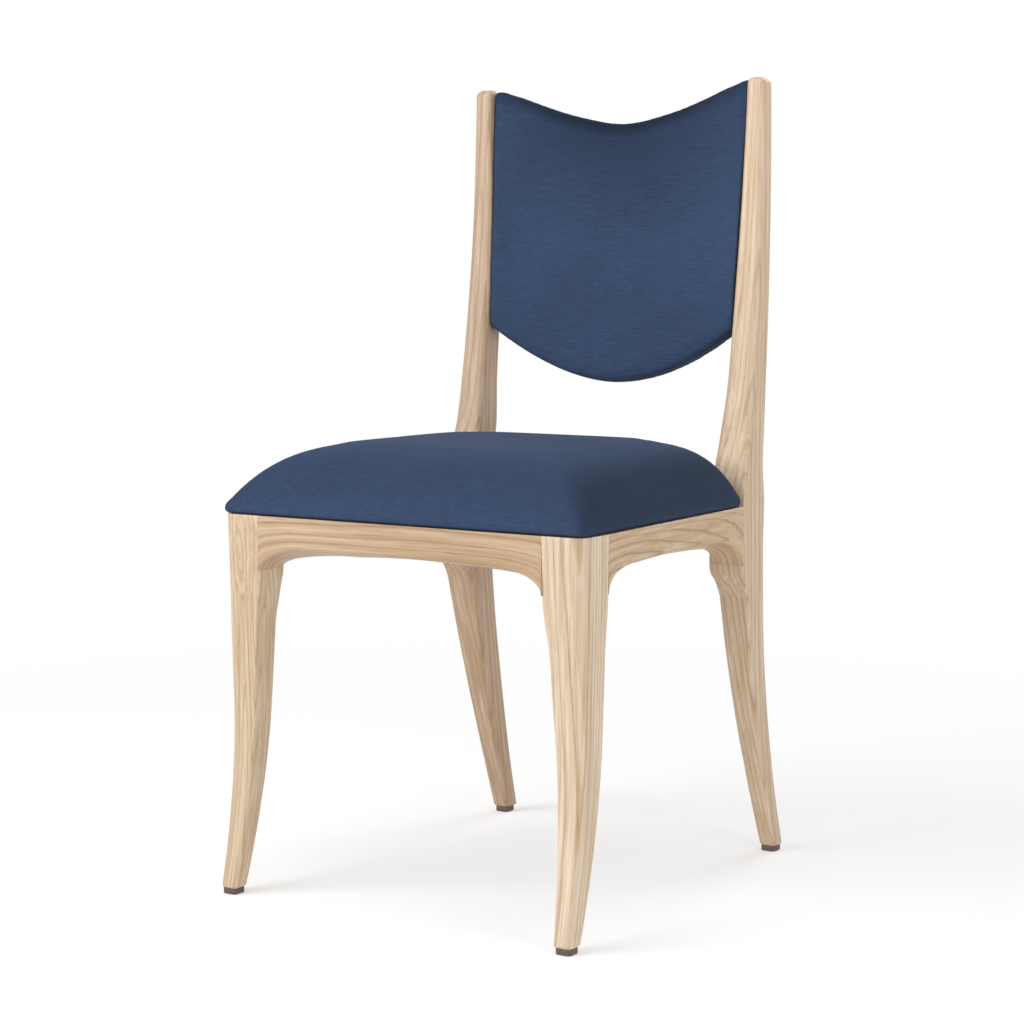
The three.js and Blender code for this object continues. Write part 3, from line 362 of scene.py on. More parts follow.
# %% Geometry Nodes tree of the sabre leg
def leg_tree():
    tree = bpy.data.node_groups.new("sabre_leg", "GeometryNodeTree")
    face = tree.interface
    face.new_socket(name="Geometry", in_out="OUTPUT", socket_type="NodeSocketGeometry")
    for name in (
        "Foot Level", "Top Level", "Knee Level", "Foot Width", "Top Width", "Flare", "Flare Power",
        "Foot Lean", "Outer Face", "Centre Depth", "Soft Corner Share", "Crisp Corner Share",
        "Hidden Corner Share", "Hidden Fade", "Foot Corner Share", "Foot Round", "Level Spread",
        "Joint Across", "Joint Depth", "Flow Start", "Flow Length", "Side",
    ):
        face.new_socket(name=name, in_out="INPUT", socket_type="NodeSocketFloat")
    face.new_socket(name="Levels", in_out="INPUT", socket_type="NodeSocketInt")
    face.new_socket(name="Material", in_out="INPUT", socket_type="NodeSocketMaterial")
    given = add(tree, "NodeGroupInput").outputs

    def math_node(operation, *values, **settings):
        settings["operation"] = operation
        return add(tree, "ShaderNodeMath", settings, dict(enumerate(values))).outputs[0]

    drum = add(tree, "GeometryNodeMeshCylinder", {"fill_type": "NGON"}, {
        "Vertices": 64, "Side Segments": given["Levels"], "Radius": 1.0, "Depth": 1.0,
    })
    spot = add(tree, "ShaderNodeSeparateXYZ", None, {0: add(tree, "GeometryNodeInputPosition").outputs[0]})
    height = math_node("POWER", math_node("ADD", spot.outputs["Z"], 0.5), given["Level Spread"])
    level = math_node(
        "MULTIPLY_ADD", height, math_node("SUBTRACT", given["Top Level"], given["Foot Level"]),
        given["Foot Level"],
    )
    width = math_node(
        "MULTIPLY_ADD", height, math_node("SUBTRACT", given["Top Width"], given["Foot Width"]),
        given["Foot Width"],
    )
    outside = math_node("GREATER_THAN", spot.outputs["X"], 0.0)
    ahead = math_node("LESS_THAN", spot.outputs["Y"], 0.0)
    hidden = math_node("MULTIPLY", math_node("SUBTRACT", 1.0, outside), math_node("SUBTRACT", 1.0, ahead))
    near_ear = math_node(
        "DIVIDE", math_node("SUBTRACT", level, given["Flow Start"]), given["Flow Length"], use_clamp=True,
    )
    crisp_above = math_node(
        "MULTIPLY", given["Crisp Corner Share"], math_node("MULTIPLY_ADD", near_ear, -0.8, 1.0),
    )
    low_down = math_node("POWER", math_node("SUBTRACT", 1.0, height), 2.5)
    crisp = math_node("MULTIPLY_ADD", low_down, given["Foot Corner Share"], crisp_above)
    corner = math_node(
        "MULTIPLY_ADD", math_node("MULTIPLY", outside, ahead),
        math_node("SUBTRACT", given["Soft Corner Share"], crisp), crisp,
    )
    ear_bottom = math_node("ADD", given["Flow Start"], given["Flow Length"])
    open_corner = add(tree, "ShaderNodeMapRange", {"interpolation_type": "SMOOTHSTEP"}, {
        "Value": level, "From Min": math_node("SUBTRACT", ear_bottom, given["Hidden Fade"]),
        "From Max": ear_bottom, "To Min": given["Hidden Corner Share"], "To Max": 0.17,
    })
    corner = math_node(
        "MULTIPLY_ADD", hidden, math_node("SUBTRACT", open_corner.outputs[0], crisp), corner,
    )
    flat_half = math_node("SUBTRACT", 0.5, corner)
    reach = [math_node("MULTIPLY", spot.outputs[axis], 0.8) for axis in ("X", "Y")]
    held = [
        math_node("MAXIMUM", math_node("MINIMUM", value, flat_half), math_node("MULTIPLY", flat_half, -1.0))
        for value in reach
    ]
    beyond = add(tree, "ShaderNodeCombineXYZ", None, {
        0: math_node("SUBTRACT", reach[0], held[0]), 1: math_node("SUBTRACT", reach[1], held[1]),
    })
    outward = add(tree, "ShaderNodeVectorMath", {"operation": "NORMALIZE"}, {0: beyond.outputs[0]})
    push = add(tree, "ShaderNodeSeparateXYZ", None, {0: outward.outputs[0]})
    off_floor = math_node(
        "DIVIDE", math_node("SUBTRACT", level, given["Foot Level"]), given["Foot Round"], use_clamp=True,
    )
    turned_under = math_node("POWER", math_node("SUBTRACT", 1.0, off_floor), 2.0)
    drawn_under = math_node("MULTIPLY_ADD", turned_under, -0.13, 1.0)
    across, along = [
        math_node("MULTIPLY", math_node("MULTIPLY_ADD", push.outputs[i], corner, held[i]), drawn_under)
        for i in range(2)
    ]
    rise = math_node(
        "DIVIDE", math_node("SUBTRACT", level, given["Foot Level"]),
        math_node("SUBTRACT", given["Knee Level"], given["Foot Level"]), use_clamp=True,
    )
    sweep = math_node("POWER", math_node("SUBTRACT", 1.0, rise), given["Flare Power"])
    centre = math_node("MULTIPLY_ADD", sweep, math_node("MULTIPLY", given["Flare"], -1.0), given["Centre Depth"])
    outer = math_node(
        "SUBTRACT", given["Outer Face"],
        math_node("MULTIPLY", given["Foot Lean"], math_node("SUBTRACT", 1.0, height)),
    )
    from_outer = math_node("SUBTRACT", 0.5, across)
    from_front = math_node("ADD", 0.5, along)
    eased = add(tree, "ShaderNodeMapRange", {"interpolation_type": "SMOOTHSTEP"}, {
        "Value": near_ear, "To Min": 0.0, "To Max": 1.0,
    }).outputs[0]
    inner = math_node("SUBTRACT", outer, width)
    rear = math_node("MULTIPLY_ADD", width, 0.5, centre)
    swell_across = math_node(
        "MULTIPLY", math_node("MULTIPLY", eased, from_outer), math_node("SUBTRACT", given["Joint Across"], inner),
    )
    swell_along = math_node(
        "MULTIPLY", math_node("MULTIPLY", eased, from_front), math_node("SUBTRACT", given["Joint Depth"], rear),
    )
    x = math_node("ADD", math_node("SUBTRACT", outer, math_node("MULTIPLY", width, from_outer)), swell_across)
    y = math_node("ADD", math_node("MULTIPLY_ADD", width, along, centre), swell_along)
    shaped = add(tree, "GeometryNodeSetPosition", None, {
        "Geometry": drum.outputs["Mesh"],
        "Position": add(tree, "ShaderNodeCombineXYZ", None, {
            0: math_node("MULTIPLY", x, given["Side"]), 1: y, 2: level,
        }).outputs[0],
    })
    turned = add(tree, "GeometryNodeFlipFaces", None, {0: shaped.outputs[0]})
    mirrored = add(tree, "GeometryNodeSwitch", {"input_type": "GEOMETRY"}, {
        0: math_node("LESS_THAN", given["Side"], 0.0), 1: shaped.outputs[0], 2: turned.outputs[0],
    })
    real = add(tree, "GeometryNodeRealizeInstances", None, {0: mirrored.outputs[0]})
    wood = add(tree, "GeometryNodeSetMaterial", None, {0: real.outputs[0], "Material": given["Material"]})
    add(tree, "NodeGroupOutput", None, {0: wood.outputs[0]})
    return tree


sabre_leg = leg_tree()
print("sabre leg tree:", len(sabre_leg.nodes), "nodes")


# %% Run a tree and keep its result as a plain mesh
def grow(name, tree, values, base=None):
    """An object whose mesh is what the tree makes from these named inputs."""
    piece = bpy.data.objects.new(name, base or bpy.data.meshes.new(name))
    bpy.context.scene.collection.objects.link(piece)
    modifier = piece.modifiers.new("rule", "NODES")
    modifier.node_group = tree
    for item in tree.interface.items_tree:
        if item.in_out == "INPUT" and item.name in values:
            modifier[item.identifier] = values[item.name]
    piece.update_tag()
    evaluated = piece.evaluated_get(bpy.context.evaluated_depsgraph_get())
    mesh = bpy.data.meshes.new_from_object(evaluated)
    piece.modifiers.remove(modifier)
    piece.data = mesh
    mesh.name = name
    return piece


def soften_edges(piece, width, degrees=50):
    """Breaks sharp arrises, as a joiner does with fine paper."""
    bevel = piece.modifiers.new("eased_arris", "BEVEL")
    bevel.width = width * MILLI
    bevel.segments = 2
    bevel.limit_method = "ANGLE"
    bevel.angle_limit = math.radians(degrees)
    evaluated = piece.evaluated_get(bpy.context.evaluated_depsgraph_get())
    mesh = bpy.data.meshes.new_from_object(evaluated)
    piece.modifiers.remove(bevel)
    piece.data = mesh
    mesh.shade_smooth()
    mesh.set_sharp_from_angle(angle=math.radians(60))


# %% Front legs
# The right leg was sawn close to the tree's heart, so its upper end shows nested arches
GRAIN_BEND = 0.85
ARCH_SLOPE = 0.2
ARCH_REACH = 90.0

leg_sizes = {
    "Foot Level": GLIDE_HEIGHT * MILLI, "Top Level": RAIL_TOP * MILLI, "Knee Level": FRONT_KNEE * MILLI,
    "Foot Width": FOOT_WIDTH * MILLI, "Top Width": FRONT_LEG_WIDTH * MILLI,
    "Flare": FRONT_FLARE * MILLI, "Flare Power": FRONT_FLARE_POWER, "Foot Lean": FRONT_FOOT_LEAN * MILLI,
    "Outer Face": front_outer_x * MILLI, "Centre Depth": front_leg_y * MILLI,
    "Soft Corner Share": 0.3, "Crisp Corner Share": 0.022, "Hidden Corner Share": 0.27,
    "Hidden Fade": 24.0 * MILLI, "Foot Corner Share": 0.2, "Foot Round": 2.6 * MILLI, "Level Spread": 1.35,
    "Joint Across": front_joint_x * MILLI, "Joint Depth": front_joint_y * MILLI,
    "Flow Start": (front_ear_bottom - FRONT_FLOW) * MILLI, "Flow Length": FRONT_FLOW * MILLI,
    "Levels": 140,
}
front_leg_grain = {
    "left": ash("ash_front_leg_left", "z", (262.0, -330.0, 0.0), ring_width=6.2, tone=(0.98, 0.98, 0.99)),
    "right": ash("ash_front_leg_right", "z", (-211.0, -254.0, 0.0), ring_width=5.4, tone=(0.87, 0.84, 0.78)),
}


def along_front_leg(x, y, z):
    """Most of the sweep is taken out, because the leg is sawn where the tree's own grain bends."""
    rise = clamp((z - GLIDE_HEIGHT) / (FRONT_KNEE - GLIDE_HEIGHT))
    arch = ARCH_SLOPE * min(RAIL_TOP - z, ARCH_REACH) if x < 0 else 0.0
    return x, y + GRAIN_BEND * FRONT_FLARE * (1 - rise) ** FRONT_FLARE_POWER - arch, z


for side, sign in (("left", 1.0), ("right", -1.0)):
    values = dict(leg_sizes, Side=sign, Material=front_leg_grain[side])
    leg = grow(f"front_leg_{side}_wood", sabre_leg, values)
    soften_edges(leg, 0.45)
    lay_grain(leg, along_front_leg)
    set_piece(leg, front_leg_grain[side], "ash", f"front_leg_{side}")

# %% [markdown]
# ## Rear legs and posts
#
# Each rear leg and its post are sawn from one plank, which is why the line from foot to top never breaks.
# The section changes in both directions as it climbs, so it is skinned over level sections. The table holds
# the shares that the outline follows, and a smooth curve runs through them. The corner that faces outwards
# and forwards is rounded wide on the post, and closes to a fine arris where the side rail meets the leg.

# %% Rear leg sections
LOWER_SHARES = [
    (0.0, 1.0, 0.0, 0.0), (0.12, 0.985, 0.1, 0.08), (0.22, 0.94, 0.2, 0.155), (0.4, 0.775, 0.41, 0.316),
    (0.58, 0.52, 0.61, 0.472), (0.76, 0.157, 0.833, 0.645), (0.88, 0.02, 0.93, 0.79),
]
UPPER_SHARES = [
    (0.0, 0.0, 0.0, 1.0, 1.0), (0.08, 0.17, 0.25, 0.9, 0.78), (0.164, 0.39, 0.48, 0.766, 0.594),
    (0.277, 0.557, 0.6, 0.569, 0.44), (0.4415, 0.75, 0.735, 0.444, 0.344),
    (0.667, 0.925, 0.885, 0.255, 0.197), (0.893, 0.995, 0.963, 0.077, 0.06), (1.0, 1.0, 1.0, 0.0, 0.0),
]


def curve_through(knots, at):
    """A smooth curve through (at, value) knots, each knot's slope taken from its neighbours."""
    last = len(knots) - 1
    if at <= knots[0][0]:
        return knots[0][1]
    if at >= knots[last][0]:
        return knots[last][1]
    after = next(i for i, knot in enumerate(knots) if knot[0] > at)

    def slope(k):
        low, high = knots[max(0, k - 1)], knots[min(last, k + 1)]
        return (high[1] - low[1]) / (high[0] - low[0])

    (from_at, start), (to_at, end) = knots[after - 1], knots[after]
    span = to_at - from_at
    t = (at - from_at) / span
    lead = t * (1 - t) ** 2 * slope(after - 1) * span
    trail = t * t * (1 - t) * slope(after) * span
    return mix(start, end, smooth(t)) + lead - trail


def rear_knots():
    knots = {"y": [], "outer": [], "width": [], "depth": []}
    for height, inset, width, depth in LOWER_SHARES:
        z = mix(GLIDE_HEIGHT, RAIL_TOP, height)
        rise = clamp((z - GLIDE_HEIGHT) / (REAR_KNEE - GLIDE_HEIGHT))
        knots["y"].append((z, rear_leg_y + REAR_SWEEP * (1 - rise) ** REAR_SWEEP_POWER))
        knots["outer"].append((z, rear_outer_x - REAR_FOOT_INSET * inset))
        knots["width"].append((z, mix(FOOT_WIDTH, REAR_LEG_WIDTH, width)))
        knots["depth"].append((z, mix(FOOT_WIDTH, REAR_LEG_DEPTH, depth)))
    for height, lean, inward, width, depth in UPPER_SHARES:
        z = RAIL_TOP + (OVERALL_HEIGHT - RAIL_TOP) * height
        knots["y"].append((z, rear_leg_y + POST_LEAN * lean))
        knots["outer"].append((z, rear_outer_x - POST_TOP_INSET * inward))
        knots["width"].append((z, mix(POST_TOP_WIDTH, REAR_LEG_WIDTH, width)))
        knots["depth"].append((z, mix(POST_TOP_WIDTH, REAR_LEG_DEPTH, depth)))
    return knots


REAR_KNOTS = rear_knots()


def rear_faces(z):
    """The four faces of a rear leg or post at a level."""
    y, outer, width, depth = (curve_through(REAR_KNOTS[key], z) for key in ("y", "outer", "width", "depth"))
    flow = smooth((z - rear_ear_bottom + REAR_FLOW) / REAR_FLOW) if z <= RAIL_TOP else 0.0
    return {
        "outer": outer, "inner": mix(outer - width, rear_joint_x, flow),
        "front": mix(y - depth / 2, rear_joint_y, flow), "back": y + depth / 2,
    }


def section(faces, radii, z, steps=7):
    """One level section with its own radius at each corner, anticlockwise from the inner front corner."""
    corners = (
        (faces["inner"], faces["front"], 1, 1, math.pi, radii["inner_front"]),
        (faces["outer"], faces["front"], -1, 1, -math.pi / 2, radii["outer_front"]),
        (faces["outer"], faces["back"], -1, -1, 0.0, radii["outer_back"]),
        (faces["inner"], faces["back"], 1, -1, math.pi / 2, radii["inner_back"]),
    )
    ring = []
    for x, y, in_x, in_y, start, radius in corners:
        for k in range(steps + 1):
            angle = start + k / steps * math.pi / 2
            ring.append((
                x + in_x * radius + radius * math.cos(angle), y + in_y * radius + radius * math.sin(angle), z,
            ))
    return ring


HIDDEN_FADE = 24.0


def rear_section(z):
    faces = rear_faces(z)
    width = faces["outer"] - faces["inner"]
    soft = 0.27 * width
    crisp = 0.045 * width
    below = smooth((rear_ear_bottom - 6.0 - z) / 55.0)
    above = smooth((z - RAIL_TOP - 4.0) / 60.0)
    opened = max(below * 0.35, above)
    hidden = 0.32 * width * smooth((rear_ear_bottom - z) / HIDDEN_FADE)
    low_down = 0.12 * width * clamp(1 - (z - GLIDE_HEIGHT) / 250.0)
    radii = {
        "outer_front": mix(0.5, soft, opened) + low_down,
        "inner_front": mix(max(7.0, hidden), soft * 0.7, above),
        "outer_back": mix(6.0, soft * 0.75, above), "inner_back": mix(max(2.0, crisp), soft * 0.7, above),
    }
    return section(faces, radii, z)


# %% Rear legs
POST_ROUND = 8.5
INNER_DRAW, OUTER_DRAW, FRONT_DRAW, BACK_DRAW = 0.45, 1.0, 0.85, 1.0
tip_start = OVERALL_HEIGHT - POST_ROUND
levels = list(np.arange(GLIDE_HEIGHT, 300.0, 6.0)) + list(np.arange(300.0, 640.0, 4.0))
levels += list(np.arange(640.0, tip_start, 6.0)) + [tip_start]


def drawn_in(ring, amount, z):
    """A ring made smaller by an amount at its corners, about its middle."""
    centre = np.mean(np.array(ring), axis=0)
    reach = max(math.hypot(p[0] - centre[0], p[1] - centre[1]) for p in ring)
    left = 1 - amount / reach
    return [(mix(centre[0], p[0], left), mix(centre[1], p[1], left), z) for p in ring]


def rounded_over(ring, amount, z):
    """A ring drawn in by an amount on each side, less on the inner one, as a hand-rounded end is."""
    inner, front, _ = np.min(ring, axis=0)
    outer, back, _ = np.max(ring, axis=0)
    drawn = []
    for x, y, _ in ring:
        out = (x - inner) / (outer - inner)
        rear = (y - front) / (back - front)
        drawn.append((
            x + amount * mix(INNER_DRAW, -OUTER_DRAW, out), y + amount * mix(FRONT_DRAW, -BACK_DRAW, rear), z,
        ))
    return drawn


def rear_rings():
    rings = [
        drawn_in(rear_section(GLIDE_HEIGHT + up), draw, GLIDE_HEIGHT + up)
        for draw, up in ((1.9, 0.0), (0.9, 0.5), (0.35, 1.1), (0.0, 2.2))
    ]
    rings += [rear_section(z) for z in levels[1:]]
    last = rings[-1]
    for k in range(1, 8):
        angle = k / 8 * math.pi / 2
        draw = POST_ROUND * (1 - math.cos(angle))
        rings.append(rounded_over(last, draw, tip_start + POST_ROUND * math.sin(angle)))
    rings.append(rounded_over(last, POST_ROUND, OVERALL_HEIGHT - 0.05))
    return rings


def other_side(rings):
    return [[(-x, y, z) for x, y, z in ring] for ring in rings]


def along_rear_leg(x, y, z):
    sweep = curve_through(REAR_KNOTS["y"], z) - rear_leg_y
    width = curve_through(REAR_KNOTS["width"], z)
    middle_x = curve_through(REAR_KNOTS["outer"], z) - width / 2
    side_sign = 1 if x > 0 else -1
    straight_x = x - side_sign * GRAIN_BEND * (middle_x - rear_outer_x + REAR_LEG_WIDTH / 2)
    return straight_x, y - GRAIN_BEND * sweep, z


# The right rear leg's tone is darker partly as painted shade, for the shade it stands in under the seat, and partly as
# its board's own redder tone.
rear_leg_grain = {
    "left": ash("ash_rear_leg_left", "z", (430.0, -60.0, 0.0), ring_width=6.0, tone=(0.87, 0.82, 0.78)),
    "right": ash("ash_rear_leg_right", "z", (-20.0, -60.0, 0.0), ring_width=6.6, tone=(0.68, 0.6, 0.55)),
}
left_rings = rear_rings()
for side, rings in (("left", left_rings), ("right", other_side(left_rings))):
    leg = skin(f"rear_leg_{side}_wood", rings)
    lay_grain(leg, along_rear_leg)
    set_piece(leg, rear_leg_grain[side], "ash", f"rear_leg_{side}")

# %% [markdown]
# ## Arched rails
#
# The rails are sawn from boards as deep as the ears that reach down the legs, then the arch and the two
# fillets are spindle-moulded and the lower edges rounded. A boolean would leave a rough edge there, so the
# rail is skinned along its lower line instead: at each step a section stands square to that line, its
# lower corners rounded, and the rounding fades to nothing where the ear's tip lands on the leg.

# %% Rail sections
def bezier(points, steps):
    """Points along a Bezier curve of any order, without its last point."""
    result = []
    for k in range(steps):
        t = k / steps
        row = [np.array(p, float) for p in points]
        while len(row) > 1:
            row = [row[i] * (1 - t) + row[i + 1] * t for i in range(len(row) - 1)]
        result.append(row[0])
    return result


def lower_line(length, start, end, arch_height, shoulder_drop, end_bend):
    """The rail's lower line, from ear tip to ear tip, as (distance along, height)."""
    arch = RAIL_TOP - arch_height
    shoulder = arch - shoulder_drop
    (start_run, start_drop), (end_run, end_drop) = start, end
    middle = (start_run + length - end_run) / 2
    start_tip, end_tip = RAIL_TOP - start_drop, RAIL_TOP - end_drop
    start_x, end_x = EAR_TIP, length - EAR_TIP
    start_shoulder, end_shoulder = start_run, length - end_run
    line = bezier([
        (start_x, start_tip), (start_x, mix(start_tip, shoulder, EAR_BEND_SHARE)),
        (mix(start_shoulder, start_x, EAR_BEND_SHARE), shoulder), (start_shoulder, shoulder),
    ], 28)
    line += bezier([
        (start_shoulder, shoulder), (mix(start_shoulder, middle, ARCH_SHARE), arch), (middle, arch),
    ], 22)
    line += bezier([
        (middle, arch), (mix(end_shoulder, middle, ARCH_SHARE), arch), (end_shoulder, shoulder),
    ], 22)
    line += bezier([
        (end_shoulder, shoulder), (mix(end_shoulder, end_x, end_bend), shoulder),
        (end_x, mix(end_tip, shoulder, end_bend)), (end_x, end_tip),
    ], 28)
    line.append(np.array([end_x, end_tip]))
    return np.array(line)


def edge_arcs(line, length):
    """At each step of a lower line: the point at the rail's top, and the arc that rounds its lower edge."""
    steps = np.gradient(line, axis=0)
    tangents = steps / np.linalg.norm(steps, axis=1)[:, None]
    gone = np.concatenate([[0.0], np.cumsum(np.linalg.norm(np.diff(line, axis=0), axis=1))])
    arcs = []
    for point, (ts, tz), run in zip(line, tangents, gone):
        into_wood = np.array([-tz, ts])
        from_tip = min(run, gone[-1] - run)
        sideways = min(point[0], length - point[0])
        radius = min(RAIL_EDGE, 0.3 + 0.2 * from_tip, 0.9 * sideways + 0.2 * max(0.0, from_tip - 8.0))
        centre = point + into_wood * radius
        turn = []
        for k in range(7):
            angle = k / 6 * math.pi / 2
            turn.append((centre - into_wood * radius * math.sin(angle), radius * (1 - math.cos(angle))))
        arcs.append(turn)
    return arcs


def rail_rings(length, thickness, outer_line, inner_line, place):
    """Rings of a rail. place turns distance along, depth inwards and height into the chair's axes."""
    rings = []
    ease = 0.5
    outer_arcs, inner_arcs = edge_arcs(outer_line, length), edge_arcs(inner_line, length)
    for k, (outer, inner) in enumerate(zip(outer_arcs, inner_arcs)):
        top = np.array([k / (len(outer_arcs) - 1) * length, RAIL_TOP])
        halves = []
        for arc in (outer, inner):
            start = arc[0][0]
            half = [(top, ease), (top - (0.0, ease), 0.0)]
            half += [(mix(top - (0.0, ease), start, share), 0.0) for share in (0.33, 0.66)]
            halves.append(half + arc)
        ring = [place(p[0], d, p[1]) for p, d in halves[0]]
        ring += [place(p[0], thickness - d, p[1]) for p, d in reversed(halves[1])]
        rings.append(ring)
    return rings


half_gap = 0.1
front_length = 2 * (front_joint_x - half_gap)
rear_length = 2 * (rear_joint_x - half_gap)
side_length = rear_joint_y - front_joint_y - 2 * half_gap


def front_place(s, d, z):
    return (-front_joint_x + half_gap + s, front_face_y + d, z)


def rear_place(s, d, z):
    return (-rear_joint_x + half_gap + s, rear_rail_face_y - d, z)


def side_place(s, d, z):
    y = front_joint_y + half_gap + s
    return (front_outer_x - toe_slope * (y - front_joint_y) - d, y, z)


def line_of(length, runs, drops, arch_height=RAIL_ARCH, shoulder_drop=SHOULDER_DROP, end_bend=EAR_BEND_SHARE):
    (start_run, end_run), (start_drop, end_drop) = runs, drops
    return lower_line(length, (start_run, start_drop), (end_run, end_drop), arch_height, shoulder_drop, end_bend)


# %% Rails
# The inner lower edge hangs a little lower than the outer one, so the underside is not level
front_drops = (FRONT_EAR_DROP, FRONT_EAR_DROP)
rear_drops = (REAR_EAR_DROP, REAR_EAR_DROP)
side_drops = (FRONT_EAR_DROP, REAR_EAR_DROP)
front_rail = skin("front_rail_wood", rail_rings(
    front_length, FRONT_RAIL_THICKNESS,
    line_of(front_length, (FRONT_EAR_RUN, FRONT_EAR_RUN), front_drops),
    line_of(front_length, (112.0, 112.0), front_drops, 40.0, 2.2), front_place,
))
rear_rail = skin("rear_rail_wood", rail_rings(
    rear_length, REAR_RAIL_THICKNESS,
    line_of(rear_length, (REAR_EAR_RUN, REAR_EAR_RUN), rear_drops),
    line_of(rear_length, (REAR_EAR_RUN, REAR_EAR_RUN), rear_drops, 37.0), rear_place,
))
side_rings = rail_rings(
    side_length, SIDE_RAIL_THICKNESS,
    line_of(side_length, (FRONT_EAR_RUN, REAR_EAR_RUN), side_drops),
    line_of(side_length, (FRONT_EAR_RUN, 49.0), side_drops, 42.4, 3.6, 0.44), side_place,
)
side_rails = {
    "left": skin("side_rail_left_wood", side_rings),
    "right": skin("side_rail_right_wood", other_side(side_rings)),
}
rail_boards = [
    (front_rail, "front_rail", "x", (0.0, -312.0, 348.0), 6.4, (0.75, 0.66, 0.58)),
    (rear_rail, "rear_rail", "x", (0.0, 246.0, 340.0), 5.8, (0.8, 0.73, 0.66)),
    (side_rails["left"], "side_rail_left", "y", (300.0, 0.0, 352.0), 6.0, (0.78, 0.7, 0.6)),
    (side_rails["right"], "side_rail_right", "y", (-292.0, 0.0, 330.0), 6.2, (0.8, 0.73, 0.66)),
]


def along_rail(line, start, axis):
    """Grain that runs level at the rail's top and follows its lower line at the bottom."""
    def straighten(x, y, z):
        low = float(np.interp((x, y)[axis] - start, line[:, 0], line[:, 1]))
        depth = clamp((RAIL_TOP - z) / max(RAIL_TOP - low, 1.0))
        return x, y, z + depth * GRAIN_FOLLOW * (RAIL_TOP - RAIL_ARCH - low)
    return straighten


GRAIN_FOLLOW = 0.8
front_grain = along_rail(line_of(front_length, (FRONT_EAR_RUN, FRONT_EAR_RUN), front_drops), -front_joint_x, 0)
rear_grain = along_rail(line_of(rear_length, (REAR_EAR_RUN, REAR_EAR_RUN), rear_drops), -rear_joint_x, 0)
side_grain = along_rail(line_of(side_length, (FRONT_EAR_RUN, REAR_EAR_RUN), side_drops), front_joint_y, 1)
grains = {"front_rail": front_grain, "rear_rail": rear_grain}
for rail, node, along, heart, ring_width, tone in rail_boards:
    lay_grain(rail, grains.get(node, side_grain))
    set_piece(rail, ash(f"ash_{node}", along, heart, ring_width=ring_width, tone=tone), "ash", node)

# %% [markdown]
# ## Navy linen
#
# The cloth is a plain weave of linen dyed navy. Linen yarn is uneven: here and there it thickens to a slub,
# which catches light as a short level dash. Two threads to a millimetre would vanish in the picture, so
# the weave is drawn about one thread to a millimetre, with slubs 8 to 20 mm long. A faint sheen comes from
# fibre ends. Colour and relief read the same threads, so that they agree.

# %% Linen material
def linen(name, weft, warp, edge_shade):
    """Navy linen. weft and warp stretch the noise so that it runs along each set of threads."""
    material = bpy.data.materials.new(name)
    material.use_nodes = True
    tree = material.node_tree
    tree.nodes.clear()
    place = add(tree, "ShaderNodeTexCoord")
    threads = []
    for scale in (weft, warp):
        run = add(tree, "ShaderNodeMapping", {"vector_type": "POINT"}, {
            "Vector": place.outputs["Object"], "Scale": scale,
        })
        threads.append(add(tree, "ShaderNodeTexNoise", {"noise_dimensions": "3D"}, {
            "Vector": run.outputs[0], "Scale": 1.0, "Detail": 3.0, "Roughness": 0.6,
        }))
    slub = add(tree, "ShaderNodeMapRange", None, {
        "Value": threads[0].outputs["Fac"], "From Min": 0.3, "From Max": 0.72,
    })
    cross = add(tree, "ShaderNodeMapRange", None, {
        "Value": threads[1].outputs["Fac"], "From Min": 0.3, "From Max": 0.72,
    })
    weave = add(tree, "ShaderNodeMath", {"operation": "MULTIPLY_ADD"}, {
        0: cross.outputs[0], 1: 0.4, 2: slub.outputs[0],
    })
    cloud = add(tree, "ShaderNodeTexNoise", {"noise_dimensions": "3D"}, {
        "Vector": place.outputs["Object"], "Scale": 9.0, "Detail": 2.0,
    })
    dyed = add(tree, "ShaderNodeMix", {"data_type": "RGBA"}, {
        "Factor": cloud.outputs["Fac"], "A": linear("#303F58"), "B": linear("#384966"),
    })
    lit = add(tree, "ShaderNodeMapRange", None, {
        "Value": weave.outputs[0], "From Min": 0.1, "From Max": 1.3, "To Min": 0.8, "To Max": 1.22,
    })
    # The attribute read here darkens the cloth's colour: painted shade along the pads' seams and edges and on the
    # seat's flanks and shoulder.
    shade_paint = add(tree, "ShaderNodeAttribute", {"attribute_name": "painted_shade", "attribute_type": "GEOMETRY"})
    shade = add(tree, "ShaderNodeMapRange", None, {
        "Value": shade_paint.outputs["Fac"], "To Min": 1.0, "To Max": edge_shade,
    })
    level = add(tree, "ShaderNodeMath", {"operation": "MULTIPLY"}, {0: lit.outputs[0], 1: shade.outputs[0]})
    cloth = add(tree, "ShaderNodeVectorMath", {"operation": "SCALE"}, {
        0: dyed.outputs["Result"], "Scale": level.outputs[0],
    })
    relief = add(tree, "ShaderNodeBump", None, {
        "Height": weave.outputs[0], "Strength": 0.35, "Distance": 0.0006,
    })
    surface = add(tree, "ShaderNodeBsdfPrincipled", None, {
        "Base Color": cloth.outputs[0], "Roughness": 0.88, "Normal": relief.outputs[0],
        "IOR": 1.45, "Specular IOR Level": 0.12, "Sheen Weight": 0.06, "Sheen Roughness": 0.5,
        "Sheen Tint": linear("#B9C6DC"),
    })
    add(tree, "ShaderNodeOutputMaterial", None, {"Surface": surface.outputs[0]})
    return material


seat_linen = linen("navy_linen_seat", (75.0, 850.0, 850.0), (850.0, 75.0, 75.0), 0.3)
back_linen = linen("navy_linen_back", (70.0, 70.0, 950.0), (950.0, 950.0, 70.0), 0.3)

# %% [markdown]
# ## Seat pad
#
# The pad is foam moulded to a crown on a plywood board, with linen drawn down over it and stapled below.
# Its walls stand only 11 mm before they roll into the crown, and each corner is pulled round tight. A
# cushion could be drawn as a smooth dome, but drawn cloth swells between the places that hold it. So the
# dome is made a little small, remeshed into even cells, and blown up by cloth simulation with its lower
# edge held, and the movement is capped so that the pad stays on its board.

